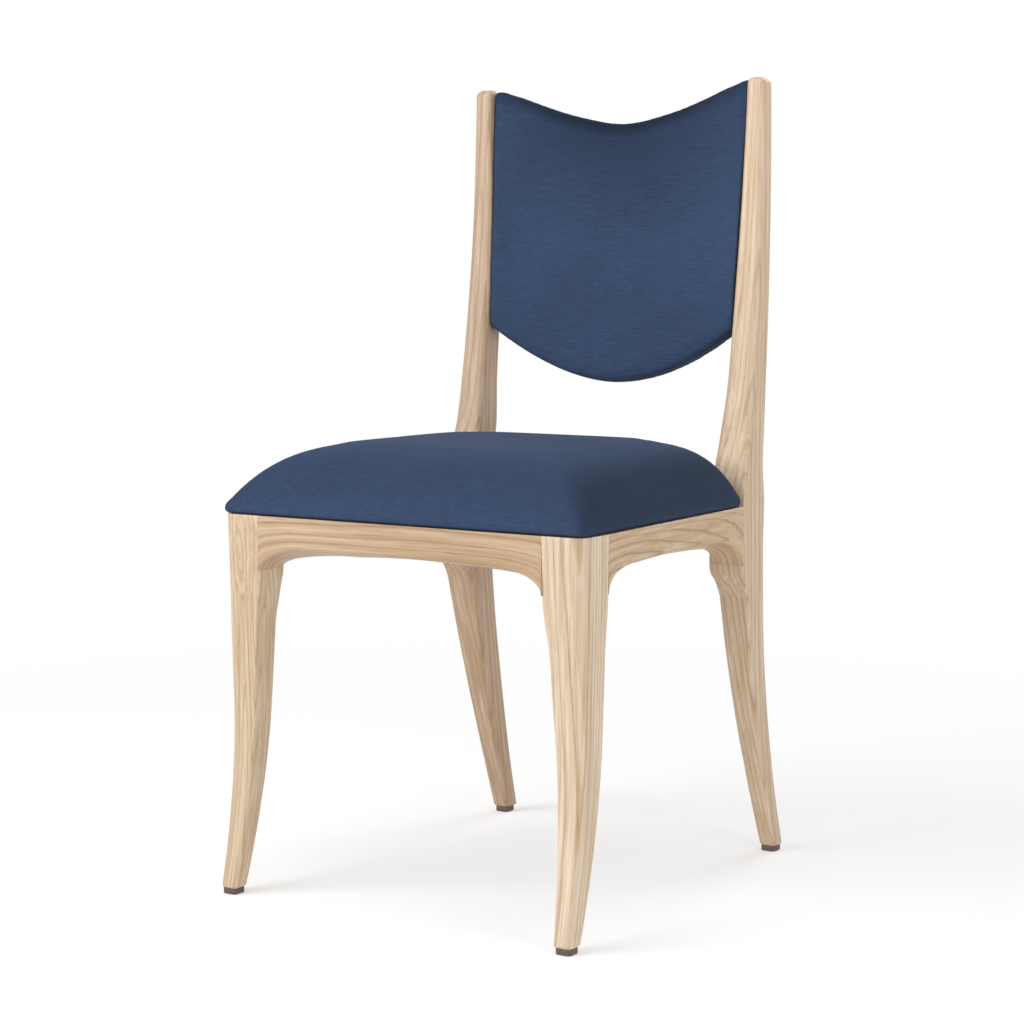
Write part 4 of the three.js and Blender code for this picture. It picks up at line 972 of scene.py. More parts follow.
# %% Seat outline
SEAT_BOTTOM = RAIL_TOP + FIT_GAP
SEAT_CROWN = 502.8
SEAT_EDGE_RISE = 10.5
SEAT_OVERHANG = 0.9
SEAT_FRONT_RADIUS = 9.0
SEAT_REAR_RADIUS = 11.0
SEAT_BULGE = 1.0
SEAT_MARGIN = 32.0
DOME_RINGS = 40
DOME_POWER = 7.4
DOME_ROUNDNESS = 0.95
SOFTENING_POWER = 4.0
SOFT_SQUARENESS = 5.1
seat_centre_y = (front_face_y + rear_rail_face_y) / 2 - 18.0


def outer_line(y):
    return front_outer_x - toe_slope * max(0.0, y - front_joint_y)


def seat_corners(inset):
    """The turning points of half the pad's plan, with each rounded corner as thirteen points."""
    front = front_face_y - SEAT_OVERHANG + inset
    rear = rear_rail_face_y + SEAT_OVERHANG - inset
    notch_y = rear_joint_y - SEAT_BULGE - 1.2 - inset
    notch_x = rear_joint_x - SEAT_BULGE - 1.2 - inset
    path = [(0.0, front)]
    for start, corner_y, radius in (
        (-math.pi / 2, front + SEAT_FRONT_RADIUS, SEAT_FRONT_RADIUS),
        (0.0, notch_y - SEAT_REAR_RADIUS, SEAT_REAR_RADIUS),
    ):
        corner_x = outer_line(corner_y) + SEAT_OVERHANG - inset - radius
        for k in range(13):
            angle = start + k / 12 * math.pi / 2
            path.append((corner_x + radius * math.cos(angle), corner_y + radius * math.sin(angle)))
    return path + [(notch_x, notch_y), (notch_x, rear), (0.0, rear)]


def seat_outline(inset, spacing=4.0):
    """The pad's whole plan as even steps. Every inset has the same number of points."""
    base, path = seat_corners(0.0), seat_corners(inset)
    half = []
    for here, there, (ax, ay), (bx, by) in zip(base, base[1:], path, path[1:]):
        count = max(1, round(math.dist(here, there) / spacing))
        half += [(mix(ax, bx, k / count), mix(ay, by, k / count)) for k in range(count)]
    half.append(path[-1])
    return half + [(-x, y) for x, y in reversed(half[1:-1])]


def dome_ring(outline, share, edge_top, crown):
    """The outline drawn towards the middle and lifted, softening from the notched plan to a rounded square."""
    half_x = outer_line(seat_centre_y)
    kept = share ** SOFTENING_POWER
    z = mix(edge_top, crown, (1 - share ** DOME_POWER) ** DOME_ROUNDNESS)
    ring = []
    for x, y in outline:
        dx, dy = x, y - seat_centre_y
        half_y = rear_rail_face_y - seat_centre_y if dy > 0 else seat_centre_y - front_face_y
        reach = math.hypot(dx, dy)
        spread = abs(dx / half_x) ** SOFT_SQUARENESS + abs(dy / half_y) ** SOFT_SQUARENESS
        soft = reach / spread ** (1 / SOFT_SQUARENESS)
        scale = share * mix(soft, reach, kept) / reach
        ring.append((dx * scale, seat_centre_y + dy * scale, z))
    return ring


# %% Seat pad form
def seat_form(shrink):
    edge_top = SEAT_BOTTOM + SEAT_EDGE_RISE - shrink
    walls = [(1.2, 0.0), (0.3, 0.1), (-0.2, 0.28), (-0.8, 0.5), (-1.0, 0.75), (-0.6, 0.92)]
    rings = []
    for draw, up in walls:
        z = mix(SEAT_BOTTOM, edge_top, up)
        rings.append([(x, y, z) for x, y in seat_outline(shrink + draw)])
    outline = seat_outline(shrink)
    for k in range(DOME_RINGS + 1):
        share = 1 - 0.96 * (k / DOME_RINGS) ** 1.7
        rings.append(dome_ring(outline, share, edge_top, SEAT_CROWN - shrink))
    return rings


def even_out(piece, size):
    """Remeshes a closed piece into even cells of a size in millimetres."""
    remesh = piece.modifiers.new("even_cells", "REMESH")
    remesh.mode = "VOXEL"
    remesh.voxel_size = size * MILLI
    remesh.adaptivity = 0.0
    evaluated = piece.evaluated_get(bpy.context.evaluated_depsgraph_get())
    mesh = bpy.data.meshes.new_from_object(evaluated)
    piece.modifiers.remove(remesh)
    piece.data = mesh


def keep_to(piece, form):
    """Brings a remeshed piece back onto the form it was made from, then removes the form."""
    wrap = piece.modifiers.new("keep_to_form", "SHRINKWRAP")
    wrap.target = form
    wrap.wrap_method = "NEAREST_SURFACEPOINT"
    evaluated = piece.evaluated_get(bpy.context.evaluated_depsgraph_get())
    mesh = bpy.data.meshes.new_from_object(evaluated)
    piece.modifiers.remove(wrap)
    piece.data = mesh
    bpy.data.objects.remove(form)


def swell(piece, held, cap, pressure, stiffness):
    """Blows a closed piece up as cloth. held marks the vertices that stay. Only outward movement is kept."""
    start = coordinates(piece.data)
    group = piece.vertex_groups.new(name="held")
    group.add([int(i) for i in np.nonzero(held)[0]], 1.0, "REPLACE")
    cloth = piece.modifiers.new("cloth", "CLOTH")
    cloth.settings.use_pressure = True
    cloth.settings.uniform_pressure_force = pressure
    cloth.settings.vertex_group_mass = "held"
    cloth.settings.tension_stiffness = stiffness
    cloth.settings.compression_stiffness = stiffness
    cloth.settings.shear_stiffness = stiffness
    cloth.settings.bending_stiffness = 2.0
    cloth.settings.quality = 5
    cloth.settings.effector_weights.gravity = 0.0
    cloth.collision_settings.use_collision = False
    scene = bpy.context.scene
    for number in range(1, 21):
        scene.frame_set(number)
    evaluated = piece.evaluated_get(bpy.context.evaluated_depsgraph_get())
    moved = coordinates(evaluated.data) - start
    piece.modifiers.remove(cloth)
    piece.vertex_groups.clear()
    scene.frame_set(1)
    outward = np.empty(len(start) * 3, np.float64)
    piece.data.vertices.foreach_get("normal", outward)
    outward = outward.reshape(-1, 3)
    reach = np.clip(np.sum(moved * outward, axis=1), 0.0, cap * MILLI)
    piece.data.vertices.foreach_set("co", (start + outward * reach[:, None]).ravel())
    print(piece.name, "swelled by up to", round(float(reach.max()) / MILLI, 2), "mm")


def smooth_out(piece, rounds, levels, where=None):
    """Relaxes the small steps that remeshing leaves, everywhere or at some vertices, then subdivides."""
    relax = piece.modifiers.new("relax", "SMOOTH")
    relax.factor = 0.5
    relax.iterations = rounds
    if where:
        piece.vertex_groups.new(name="relaxed").add(where, 1.0, "REPLACE")
        relax.vertex_group = "relaxed"
    if levels:
        finer = piece.modifiers.new("finer", "SUBSURF")
        finer.levels = levels
        finer.render_levels = levels
    evaluated = piece.evaluated_get(bpy.context.evaluated_depsgraph_get())
    mesh = bpy.data.meshes.new_from_object(evaluated)
    piece.modifiers.clear()
    piece.vertex_groups.clear()
    piece.data = mesh
    mesh.shade_smooth()


def spread_out(mesh, values, rounds):
    """Averages a value over each point's neighbours, so that a change of tone has no edge."""
    ends = np.empty(len(mesh.edges) * 2, np.int64)
    mesh.edges.foreach_get("vertices", ends)
    ends = ends.reshape(-1, 2)
    here = np.concatenate([ends[:, 0], ends[:, 1]])
    there = np.concatenate([ends[:, 1], ends[:, 0]])
    neighbours = np.maximum(np.bincount(here, minlength=len(values)), 1)
    for _ in range(rounds):
        values = 0.5 * values + 0.5 * np.bincount(here, weights=values[there], minlength=len(values)) / neighbours
    return values


# %% Seat pad
seat_pad = skin("seat_pad", seat_form(0.8))
seat_pad_form = seat_pad.copy()
bpy.context.scene.collection.objects.link(seat_pad_form)
even_out(seat_pad, 4.0)
keep_to(seat_pad, seat_pad_form)
points = coordinates(seat_pad.data)
swell(seat_pad, points[:, 2] < (SEAT_BOTTOM + 3.0) * MILLI, 1.4, 3.0, 15.0)
above_wall = [i for i, z in enumerate(coordinates(seat_pad.data)[:, 2]) if z > (SEAT_BOTTOM + 15.0) * MILLI]
smooth_out(seat_pad, 1, 0)
smooth_out(seat_pad, 12, 1, above_wall)

points = coordinates(seat_pad.data)
points[:, 2] = np.maximum(points[:, 2], (SEAT_BOTTOM + 0.15) * MILLI)
beside_post = (points[:, 1] > (rear_joint_y - 0.4) * MILLI) & (np.abs(points[:, 0]) > (rear_joint_x - 0.4) * MILLI)
deep = points[:, 1] / MILLI - (rear_joint_y - 0.4)
wide = np.abs(points[:, 0]) / MILLI - (rear_joint_x - 0.4)
push_back = beside_post & (deep < wide)
push_in = beside_post & ~push_back
points[push_back, 1] = (rear_joint_y - 0.4) * MILLI
points[push_in, 0] = np.sign(points[push_in, 0]) * (rear_joint_x - 0.4) * MILLI
low = points[:, 2] < (SEAT_BOTTOM + 1.0) * MILLI
inside = (np.abs(points[:, 0]) < (front_outer_x - SEAT_MARGIN) * MILLI)
inside &= points[:, 1] > (front_face_y + SEAT_MARGIN) * MILLI
inside &= points[:, 1] < (rear_joint_y - SEAT_MARGIN) * MILLI
points[low & inside, 2] = (SEAT_BOTTOM + 1.5) * MILLI
seat_pad.data.vertices.foreach_set("co", points.ravel())
# Painted shade in the cloth's colour: a painted shadow along the lower seam where the pad sits on the rails, painted
# shade on the flanks that face sideways, and a little on the shoulder.
seat_shade_paint = np.clip((3.4 - (points[:, 2] / MILLI - SEAT_BOTTOM)) / 2.4, 0, 1)
facing = np.empty(len(points) * 3, np.float64)
seat_pad.data.vertices.foreach_get("normal", facing)
facing = facing.reshape(-1, 3)
on_flank = np.clip((np.abs(facing[:, 0]) - 0.25) / 0.5, 0, 1)
on_shoulder = np.clip((facing[:, 2] - 0.2) / 0.3, 0, 1) * np.clip((0.97 - facing[:, 2]) / 0.2, 0, 1)
# The painted shade of the flanks and shoulder is spread over neighbouring points so that it has no edge.
turned = spread_out(seat_pad.data, np.maximum(0.7 * on_flank, 0.17 * on_shoulder), 60)
seat_shade_paint = np.maximum(seat_shade_paint, turned)
edge = seat_pad.data.attributes.new("painted_shade", "FLOAT", "POINT")
edge.data.foreach_set("value", seat_shade_paint.astype(np.float32))
set_piece(seat_pad, seat_linen, "linen", "seat_cover", "seat_foam")

# %% [markdown]
# ## Back panel
#
# A plywood shield is hollowed for the sitter's back, padded in front and wrapped in the same linen. Its top
# dips between the posts and its lower edge bows down. The form follows three rules: how deep the face lies,
# where the upper and lower edges run, and how far apart the posts stand at each height. A grid in those
# terms gives the front; it is closed with a back, remeshed and swollen a little, with the back held.

# %% Panel form
PANEL_SIDE_BOTTOM = 622.0
PANEL_SIDE_TOP = 911.4
PANEL_TOP_DIP = 45.0
PANEL_BOTTOM_DROP = 64.6
PANEL_BOTTOM_POWER = 1.85
PANEL_GAP = 0.4
PANEL_SETBACK = 20.8
PANEL_LEAN = 24.6
PANEL_HOLLOW = 15.0
PANEL_BOTTOM_THICKNESS = 27.0
PANEL_TOP_THICKNESS = 16.0
TOP_SHARES = [
    (0, 0), (0.12, 0.035), (0.255, 0.135), (0.452, 0.32), (0.643, 0.56), (0.81, 0.8), (0.9, 0.9), (0.955, 0.98), (1, 1),
]


def panel_front(share, z):
    climb = (z - PANEL_SIDE_BOTTOM) / (PANEL_SIDE_TOP - PANEL_SIDE_BOTTOM)
    return rear_leg_y + PANEL_SETBACK + PANEL_LEAN * climb + PANEL_HOLLOW * (1 - share * share)


def panel_thickness(z):
    climb = (z - PANEL_SIDE_BOTTOM) / (PANEL_SIDE_TOP - PANEL_SIDE_BOTTOM)
    return mix(PANEL_BOTTOM_THICKNESS, PANEL_TOP_THICKNESS, climb)


def panel_top(share):
    return PANEL_SIDE_TOP - PANEL_TOP_DIP * (1 - curve_through(TOP_SHARES, abs(share)))


def panel_bottom(share):
    return PANEL_SIDE_BOTTOM - PANEL_BOTTOM_DROP * (1 - abs(share) ** PANEL_BOTTOM_POWER)


def fall_back(distance, radius):
    if distance >= radius:
        return 0.0
    return radius - math.sqrt(radius * radius - (radius - distance) ** 2)


def rounded_steps(span, first, last, count):
    """Steps across a span, close together where an edge rounds over at either end."""
    shares = (0.0, 0.04, 0.12, 0.24, 0.42, 0.68, 1.0)
    inner = span - first - last
    starts = [share * first for share in shares] if first else [0.0]
    ends = [span - share * last for share in reversed(shares)] if last else [span]
    return starts + [first + inner * (i + 1) / count for i in range(count - 1)] + ends


def panel_grid(inset, depth, rounding):
    """Columns of points over one face of the panel. rounding gives the radii that turn its edges back."""
    grid = []
    bottom_round, top_round, side_round = rounding
    side_share = side_round / rear_joint_x
    for across in rounded_steps(2.0, side_share, side_share, 36):
        share = across - 1
        low, high = panel_bottom(share) + inset, panel_top(share) - inset
        column = []
        for up in rounded_steps(high - low, bottom_round, top_round, 36):
            z = low + up
            half = rear_faces(z)["inner"] - PANEL_GAP
            x = share * (half - inset)
            fall = max(
                fall_back(up, bottom_round), fall_back(high - z, top_round),
                fall_back(half - inset - abs(x), side_round),
            )
            column.append((x, depth(x / half, z) + fall, z))
        grid.append(column)
    return grid


def pillow(name, front_grid, back_grid):
    """Joins two grids of the same size into one closed piece."""
    columns, rows = len(front_grid), len(front_grid[0])
    points = [tuple(c * MILLI for c in p) for grid in (front_grid, back_grid) for column in grid for p in column]
    behind = columns * rows
    faces = []

    def at(i, j):
        return i * rows + j

    for i in range(columns - 1):
        for j in range(rows - 1):
            quad = (at(i, j), at(i + 1, j), at(i + 1, j + 1), at(i, j + 1))
            faces.append(quad)
            faces.append(tuple(behind + k for k in reversed(quad)))
    rim = [at(i, 0) for i in range(columns)] + [at(columns - 1, j) for j in range(1, rows)]
    rim += [at(i, rows - 1) for i in range(columns - 2, -1, -1)] + [at(0, j) for j in range(rows - 2, 0, -1)]
    for a, b in zip(rim, rim[1:] + rim[:1]):
        faces.append((b, a, behind + a, behind + b))
    mesh = bpy.data.meshes.new(name)
    mesh.from_pydata(points, [], faces)
    finish_mesh(mesh, 50)
    piece = bpy.data.objects.new(name, mesh)
    bpy.context.scene.collection.objects.link(piece)
    return piece


# %% Back panel pad
CLOTH = 1.4


def padded_back(share, z):
    return panel_front(share, z) + panel_thickness(z) - CLOTH - FIT_GAP


ROUNDING = (11.0, 5.0, 1.6)
back_pad = pillow(
    "back_pad",
    panel_grid(0.3, lambda share, z: panel_front(share, z) + 0.6, ROUNDING),
    [
        [(x, padded_back(x / (rear_faces(z)["inner"] - PANEL_GAP), z), z) for x, _, z in column]
        for column in panel_grid(0.3, padded_back, ROUNDING)
    ],
)
back_pad_form = back_pad.copy()
bpy.context.scene.collection.objects.link(back_pad_form)
even_out(back_pad, 3.4)
keep_to(back_pad, back_pad_form)
points = coordinates(back_pad.data)
halves = np.array([rear_faces(z / MILLI)["inner"] - PANEL_GAP for z in points[:, 2]])
shares = points[:, 0] / MILLI / halves
backs = np.array([padded_back(s, z / MILLI) for s, z in zip(shares, points[:, 2])])
held = (points[:, 1] / MILLI > backs - 2.5) | (np.abs(shares) > 0.985)
swell(back_pad, held, 1.2, 3.0, 15.0)
smooth_out(back_pad, 1, 1)

# %% Painted shade along the back panel's edges
points = coordinates(back_pad.data)
halves = np.array([rear_faces(z / MILLI)["inner"] - PANEL_GAP for z in points[:, 2]])
shares = np.clip(points[:, 0] / MILLI / halves, -1, 1)
tops = np.array([panel_top(s) for s in shares])
bottoms = np.array([panel_bottom(s) for s in shares])
from_top = tops - points[:, 2] / MILLI
from_bottom = points[:, 2] / MILLI - bottoms
# Painted shade: darker for 150 mm below the top, most in the middle, with a dark band along the top edge, a softer band
# along the bottom and a thin dark line at each side.
near_edge = 0.63 * np.clip(1 - from_top / 150.0, 0, 1) * (1 - 0.7 * shares ** 2)
near_edge += 0.6 * np.clip(1 - from_top / 18.0, 0, 1)
near_edge = np.maximum(near_edge, 0.45 * np.clip(1 - from_bottom / 10.0, 0, 1) ** 1.5)
near_side = np.clip(1 - (1 - np.abs(shares)) * halves / 3.0, 0, 1)
near_edge = np.clip(np.maximum(near_edge, near_side), 0, 1)
edge = back_pad.data.attributes.new("painted_shade", "FLOAT", "POINT")
edge.data.foreach_set("value", near_edge.astype(np.float32))
set_piece(back_pad, back_linen, "linen", "back_cover", "back_foam")


# %% [markdown]
# ## Outer back cover
#
# Behind the panel a second piece of linen closes the shield. It is cut a few millimetres smaller and
# stitched round, so it lies just inside the turned edge. It is a thin sheet that follows the panel's back.

# %% Outer back cover
def outer_depth(share, z):
    return panel_front(share, z) + panel_thickness(z)


back_face = panel_grid(4.0, outer_depth, (0.0, 0.0, 3.0))
plain_face = [[(x, outer_depth(x / (rear_faces(z)["inner"] - PANEL_GAP), z), z) for x, _, z in column]
              for column in back_face]
inner_face = [[(x, y - CLOTH, z) for x, y, z in column] for column in plain_face]
outer_back = pillow("back_outer_linen", inner_face, plain_face)
set_piece(outer_back, back_linen, "linen", "back_outer_cover")


# %% [markdown]
# ## Glides
#
# Under each foot a small square pad of brown nylon is nailed on, so that the chair slides on a hard floor.
# It is injection moulded: crisp, faintly shiny, with a rounded lower edge.

# %% Nylon material and glides
def plain_finish(name, colour, spot_colour, scale, roughness, metallic=0.0):
    """A plain material whose tone and roughness vary a little at a given scale."""
    material = bpy.data.materials.new(name)
    material.use_nodes = True
    tree = material.node_tree
    tree.nodes.clear()
    place = add(tree, "ShaderNodeTexCoord")
    cloud = add(tree, "ShaderNodeTexNoise", {"noise_dimensions": "3D"}, {
        "Vector": place.outputs["Object"], "Scale": scale, "Detail": 4.0, "Roughness": 0.6,
    })
    tone = add(tree, "ShaderNodeMix", {"data_type": "RGBA"}, {
        "Factor": cloud.outputs["Fac"], "A": linear(colour), "B": linear(spot_colour),
    })
    rough = add(tree, "ShaderNodeMapRange", None, {
        "Value": cloud.outputs["Fac"], "To Min": roughness - 0.08, "To Max": roughness + 0.08,
    })
    surface = add(tree, "ShaderNodeBsdfPrincipled", None, {
        "Base Color": tone.outputs["Result"], "Roughness": rough.outputs[0], "Metallic": metallic,
    })
    add(tree, "ShaderNodeOutputMaterial", None, {"Surface": surface.outputs[0]})
    return material


nylon = plain_finish("brown_nylon", "#56433F", "#63504A", 400.0, 0.45)
steel = plain_finish("zinc_plated_steel", "#A9A9A4", "#8F8F8B", 600.0, 0.35, 1.0)
plywood = plain_finish("birch_plywood", "#CDB188", "#BE9F74", 60.0, 0.7)
beech = plain_finish("sanded_beech", "#D2AC82", "#C39A6E", 90.0, 0.65)
felt = plain_finish("black_dust_cloth", "#232326", "#2E2E32", 900.0, 0.9)

GLIDE_WIDTH = 18.6


def glide_rings(x, y):
    rings = []
    for draw, z in ((1.5, 0.0), (0.55, 0.25), (0.1, 0.8), (0.0, 1.5), (0.0, 6.6), (0.3, GLIDE_HEIGHT - FIT_GAP)):
        half = GLIDE_WIDTH / 2 - draw
        faces = {"inner": x - half, "outer": x + half, "front": y - half, "back": y + half}
        radius = 4.2 - draw / 2
        radii = {key: radius for key in ("inner_front", "outer_front", "outer_back", "inner_back")}
        rings.append(section(faces, radii, z))
    return rings


def middle(node):
    low_corner, high_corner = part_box(node)
    return [(low_corner[i] + high_corner[i]) / 2 / MILLI for i in range(2)]


for row in ("front", "rear"):
    for side in ("left", "right"):
        x, y = middle(f"{row}_glide_{side}")
        glide = skin(f"{row}_glide_{side}_pad", glide_rings(x, y))
        set_piece(glide, nylon, "nylon", f"{row}_glide_{side}")

# %% [markdown]
# ## Hidden build
#
# Turn the chair over and the joiner's side shows: four beech corner blocks screwed into the rails, a plywood
# board, and a black dust cloth that hides it. The blocks and boards keep their solids, which already have
# the right shape, and take a material. The cloth and the screws are made again, because a cloth sags a
# little and a screw has a thread and a dished head.

# %% Materials of the hidden pieces
def dress(names, material):
    for name in names:
        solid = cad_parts[name]
        solid.data.materials.clear()
        solid.data.materials.append(material)


every = list(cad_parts)
dress([n for n in every if "corner_block" in n or "dowel" in n], beech)
dress([n for n in every if "nail" in n], steel)
dress(["seat_board", "back_board"], plywood)
print("dressed", len(every), "solids")

# %% [markdown]
# ## Dust cloth
#
# The cloth is a black non-woven sheet, stretched over the rails before the board goes on, so its edge is
# held between them. Between the rails it hangs a few millimetres low. A flat plate would do, but it would
# look like board; a grid with a shallow sag reads as cloth and stays thin.

# %% Dust cloth
CLOTH_EDGE = 33.0
DUST_THICKNESS = 0.8
DUST_SAG = 5.0


def dust_grid(level):
    """The cloth's plan as columns from side to side, sagging between the rails."""
    front, rear = front_face_y + CLOTH_EDGE + 16.0, rear_joint_y - CLOTH_EDGE + 20.0
    grid = []
    for across in np.linspace(-1, 1, 33):
        column = []
        for along in np.linspace(0, 1, 29):
            y = mix(front, rear, along)
            half = outer_line(y) - SIDE_RAIL_THICKNESS + 7.0
            sag = DUST_SAG * (1 - across ** 4) * (1 - (2 * along - 1) ** 4)
            column.append((across * half, y, level - sag))
        grid.append(column)
    return grid


dust_low, dust_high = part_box("seat_dust_cloth")
dust_under = dust_grid(dust_low[2] / MILLI)
dust_top = [[(x, y, z + DUST_THICKNESS) for x, y, z in column] for column in dust_under]
dust_cloth = pillow("dust_cloth", dust_under, dust_top)
set_piece(dust_cloth, felt, "lining", "seat_dust_cloth")

# %% [markdown]
# ## Screws
#
# Twelve countersunk wood screws hold the corner blocks and the seat board. They are one shape in twelve
# places, so Geometry Nodes draw one screw by a rule: a drum whose radius is the head's cone, then a shank
# with a thread, then a point. The tree sets a copy on each place and turns it the way its hole runs.

# %% Geometry Nodes tree of the screws
def screw_tree():
    tree = bpy.data.node_groups.new("countersunk_screws", "GeometryNodeTree")
    face = tree.interface
    face.new_socket(name="Geometry", in_out="OUTPUT", socket_type="NodeSocketGeometry")
    face.new_socket(name="Places", in_out="INPUT", socket_type="NodeSocketGeometry")
    for name in ("Length", "Head Width", "Head Height", "Shank Width", "Thread Pitch", "Tip Length"):
        face.new_socket(name=name, in_out="INPUT", socket_type="NodeSocketFloat")
    face.new_socket(name="Material", in_out="INPUT", socket_type="NodeSocketMaterial")
    given = add(tree, "NodeGroupInput").outputs

    def math_node(operation, *values, **settings):
        settings["operation"] = operation
        return add(tree, "ShaderNodeMath", settings, dict(enumerate(values))).outputs[0]

    drum = add(tree, "GeometryNodeMeshCylinder", {"fill_type": "TRIANGLE_FAN"}, {
        "Vertices": 12, "Side Segments": 64, "Fill Segments": 2, "Radius": 1.0, "Depth": 1.0,
    })
    spot = add(tree, "ShaderNodeSeparateXYZ", None, {0: add(tree, "GeometryNodeInputPosition").outputs[0]})
    run = math_node("MULTIPLY", math_node("ADD", spot.outputs["Z"], 0.5), given["Length"])
    ridge = math_node("PINGPONG", run, math_node("MULTIPLY", given["Thread Pitch"], 0.5))
    cut = math_node("DIVIDE", ridge, given["Thread Pitch"])
    shank = math_node("MULTIPLY", given["Shank Width"], math_node("MULTIPLY_ADD", cut, 0.28, 0.36))
    into_head = math_node("DIVIDE", run, given["Head Height"], use_clamp=True)
    to_tip = math_node("DIVIDE", math_node("SUBTRACT", given["Length"], run), given["Tip Length"], use_clamp=True)
    head = math_node("MULTIPLY", given["Head Width"], 0.5)
    body = math_node("MULTIPLY", shank, math_node("MULTIPLY_ADD", to_tip, 0.92, 0.08))
    radius = math_node(
        "ADD", math_node("MULTIPLY", head, math_node("SUBTRACT", 1.0, into_head)),
        math_node("MULTIPLY", body, into_head),
    )
    from_axis = add(tree, "ShaderNodeVectorMath", {"operation": "LENGTH"}, {
        0: add(tree, "ShaderNodeCombineXYZ", None, {0: spot.outputs["X"], 1: spot.outputs["Y"]}).outputs[0],
    })
    dish = math_node(
        "MULTIPLY", math_node("SUBTRACT", 1.0, from_axis.outputs["Value"]),
        math_node("MULTIPLY", math_node("LESS_THAN", run, 0.00001), given["Head Height"]),
    )
    shaped = add(tree, "GeometryNodeSetPosition", None, {
        "Geometry": drum.outputs["Mesh"],
        "Position": add(tree, "ShaderNodeCombineXYZ", None, {
            0: math_node("MULTIPLY", spot.outputs["X"], radius),
            1: math_node("MULTIPLY", spot.outputs["Y"], radius),
            2: math_node("MULTIPLY_ADD", dish, 0.45, run),
        }).outputs[0],
    })
    way = add(tree, "GeometryNodeInputNamedAttribute", {"data_type": "FLOAT_VECTOR"}, {"Name": "way"})
    turned = add(tree, "FunctionNodeAlignRotationToVector", {"axis": "Z"}, {"Vector": way.outputs[0]})
    placed = add(tree, "GeometryNodeInstanceOnPoints", None, {
        "Points": given["Places"], "Instance": shaped.outputs[0], "Rotation": turned.outputs[0],
    })
    real = add(tree, "GeometryNodeRealizeInstances", None, {0: placed.outputs[0]})
    metal = add(tree, "GeometryNodeSetMaterial", None, {0: real.outputs[0], "Material": given["Material"]})
    add(tree, "NodeGroupOutput", None, {0: metal.outputs[0]})
    return tree


# %% Screws
def screw_place(node):
    """Where a screw's head lies and which way it runs, read from its solid's box."""
    low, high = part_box(node)
    spot = [(low[i] + high[i]) / 2 for i in range(3)]
    axis = 2 if "_seat_" in node else 1 if "_cross_" in node else 0
    way = [0.0, 0.0, 0.0]
    way[axis] = 1.0 if spot[axis] > 0 else -1.0
    spot[axis] = low[axis] if way[axis] > 0 else high[axis]
    return spot, way


screw_nodes = [n for n in every if "screw" in n]
places, ways = zip(*[screw_place(n) for n in screw_nodes])
screw_points = bpy.data.meshes.new("screw_places")
screw_points.from_pydata([tuple(p) for p in places], [], [])
direction = screw_points.attributes.new("way", "FLOAT_VECTOR", "POINT")
direction.data.foreach_set("vector", np.array(ways, np.float32).ravel())
screws = grow("block_screws", screw_tree(), {
    "Length": 34.0 * MILLI, "Head Width": 8.0 * MILLI, "Head Height": 3.0 * MILLI, "Shank Width": 4.0 * MILLI,
    "Thread Pitch": 1.8 * MILLI, "Tip Length": 4.0 * MILLI, "Material": steel,
}, screw_points)
finish_mesh(screws.data, 40)
set_piece(screws, steel, "steel", *screw_nodes)

# %% [markdown]
# ## Stage and light
#
# The chair stands in a white room with very soft light: a large soft box in front of it, a weaker one at
# the right that gives the faint shadow behind the feet, and a low one behind that catches the crown of the
# seat. The floor is white and lit just past white, so that only the shadow shows on it.

# %% World, floor and lamps
scene = bpy.context.scene
scene.view_settings.view_transform = "Standard"

world = bpy.data.worlds.new("white_room")
scene.world = world
world.use_nodes = True
sky = world.node_tree
sky.nodes.clear()
seen = add(sky, "ShaderNodeLightPath")
mirrored_too = add(sky, "ShaderNodeMath", {"operation": "MAXIMUM"}, {
    0: seen.outputs["Is Camera Ray"], 1: seen.outputs["Is Glossy Ray"],
})
clear_too = add(sky, "ShaderNodeMath", {"operation": "MAXIMUM"}, {
    0: mirrored_too.outputs[0], 1: seen.outputs["Is Transmission Ray"],
})
toward = add(sky, "ShaderNodeSeparateXYZ", None, {0: add(sky, "ShaderNodeTexCoord").outputs["Generated"]})
room_light = add(sky, "ShaderNodeMapRange", None, {
    "Value": toward.outputs["Z"], "From Min": 0.0, "From Max": 0.8, "To Min": 0.9, "To Max": 0.12,
})
strength = add(sky, "ShaderNodeMix", {"data_type": "FLOAT"}, {
    "Factor": clear_too.outputs[0], "A": room_light.outputs[0], "B": 1.0,
})
air = add(sky, "ShaderNodeBackground", None, {"Color": (1, 1, 1, 1), "Strength": strength.outputs["Result"]})
add(sky, "ShaderNodeOutputWorld", None, {"Surface": air.outputs[0]})


def lamp(name, place, target, width, watts, spread=180.0):
    data = bpy.data.lights.new(name, "AREA")
    data.shape = "SQUARE"
    data.size = width
    data.energy = watts
    data.spread = math.radians(spread)
    light = bpy.data.objects.new(name, data)
    light.location = place
    light.rotation_euler = (Vector(place) - Vector(target)).to_track_quat("Z", "Y").to_euler()
    scene.collection.objects.link(light)


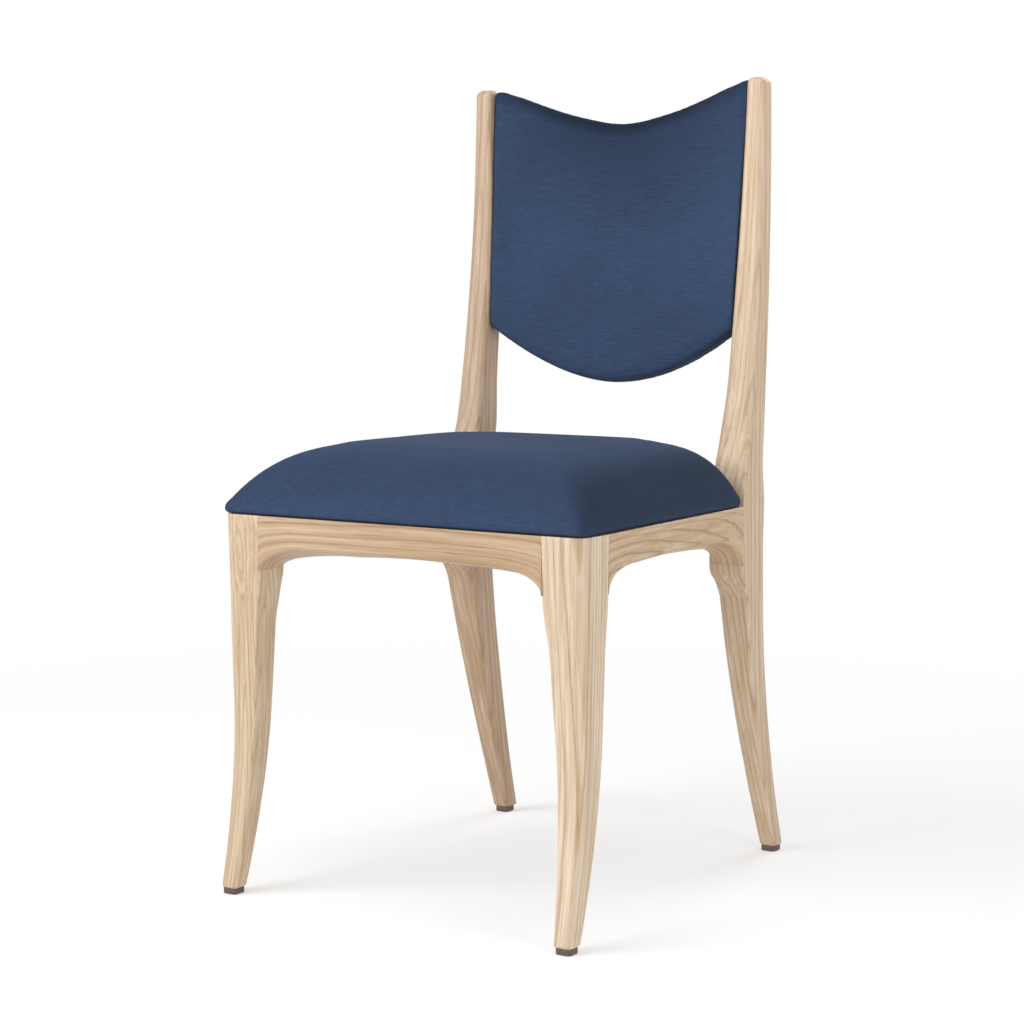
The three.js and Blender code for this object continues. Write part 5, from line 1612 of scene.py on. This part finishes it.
lamp("front_soft_box", (-2.0, -2.8, 2.1), (0.0, 0.0, 0.5), 2.6, 91.0)
lamp("right_soft_box", (3.0, -1.1, 0.7), (0.0, 0.0, 0.4), 1.2, 23.0)
lamp("rear_soft_box", (0.3, 2.8, 2.3), (0.0, 0.0, 0.5), 1.6, 22.0)
lamp("overhead_soft_box", (0.2, -0.5, 2.9), (0.0, 0.0, 0.4), 2.2, 26.0)

floor_mesh = bpy.data.meshes.new("floor")
reach = 30.0
floor_mesh.from_pydata(
    [(-reach, -reach, 0), (reach, -reach, 0), (reach, reach, 0), (-reach, reach, 0)], [], [(0, 1, 2, 3)],
)
floor = bpy.data.objects.new("floor", floor_mesh)
scene.collection.objects.link(floor)
floor_paint = bpy.data.materials.new("white_floor")
floor_paint.use_nodes = True
paint = floor_paint.node_tree
paint.nodes.clear()
spot = add(paint, "ShaderNodeTexCoord")
away = add(paint, "ShaderNodeVectorMath", {"operation": "LENGTH"}, {0: spot.outputs["Object"]})
far = add(paint, "ShaderNodeMapRange", {"interpolation_type": "SMOOTHSTEP"}, {
    "Value": away.outputs["Value"], "From Min": 0.75, "From Max": 1.9,
})
in_view = add(paint, "ShaderNodeLightPath")
lightness = add(paint, "ShaderNodeMapRange", None, {
    "Value": in_view.outputs["Is Camera Ray"], "To Min": 0.7, "To Max": 0.72,
})
matt_paint = add(paint, "ShaderNodeBsdfDiffuse", None, {"Color": lightness.outputs[0]})
glow_level = add(paint, "ShaderNodeMapRange", None, {
    "Value": in_view.outputs["Is Camera Ray"], "To Min": 0.28, "To Max": 0.395,
})
glow = add(paint, "ShaderNodeEmission", None, {"Color": (1, 1, 1, 1), "Strength": glow_level.outputs[0]})
near_paint = add(paint, "ShaderNodeAddShader", None, {0: matt_paint.outputs[0], 1: glow.outputs[0]})
far_paint = add(paint, "ShaderNodeEmission", None, {"Color": (1, 1, 1, 1), "Strength": 1.0})
blend = add(paint, "ShaderNodeMixShader", None, {
    0: far.outputs[0], 1: near_paint.outputs[0], 2: far_paint.outputs[0],
})
add(paint, "ShaderNodeOutputMaterial", None, {"Surface": blend.outputs[0]})
floor_mesh.materials.append(floor_paint)
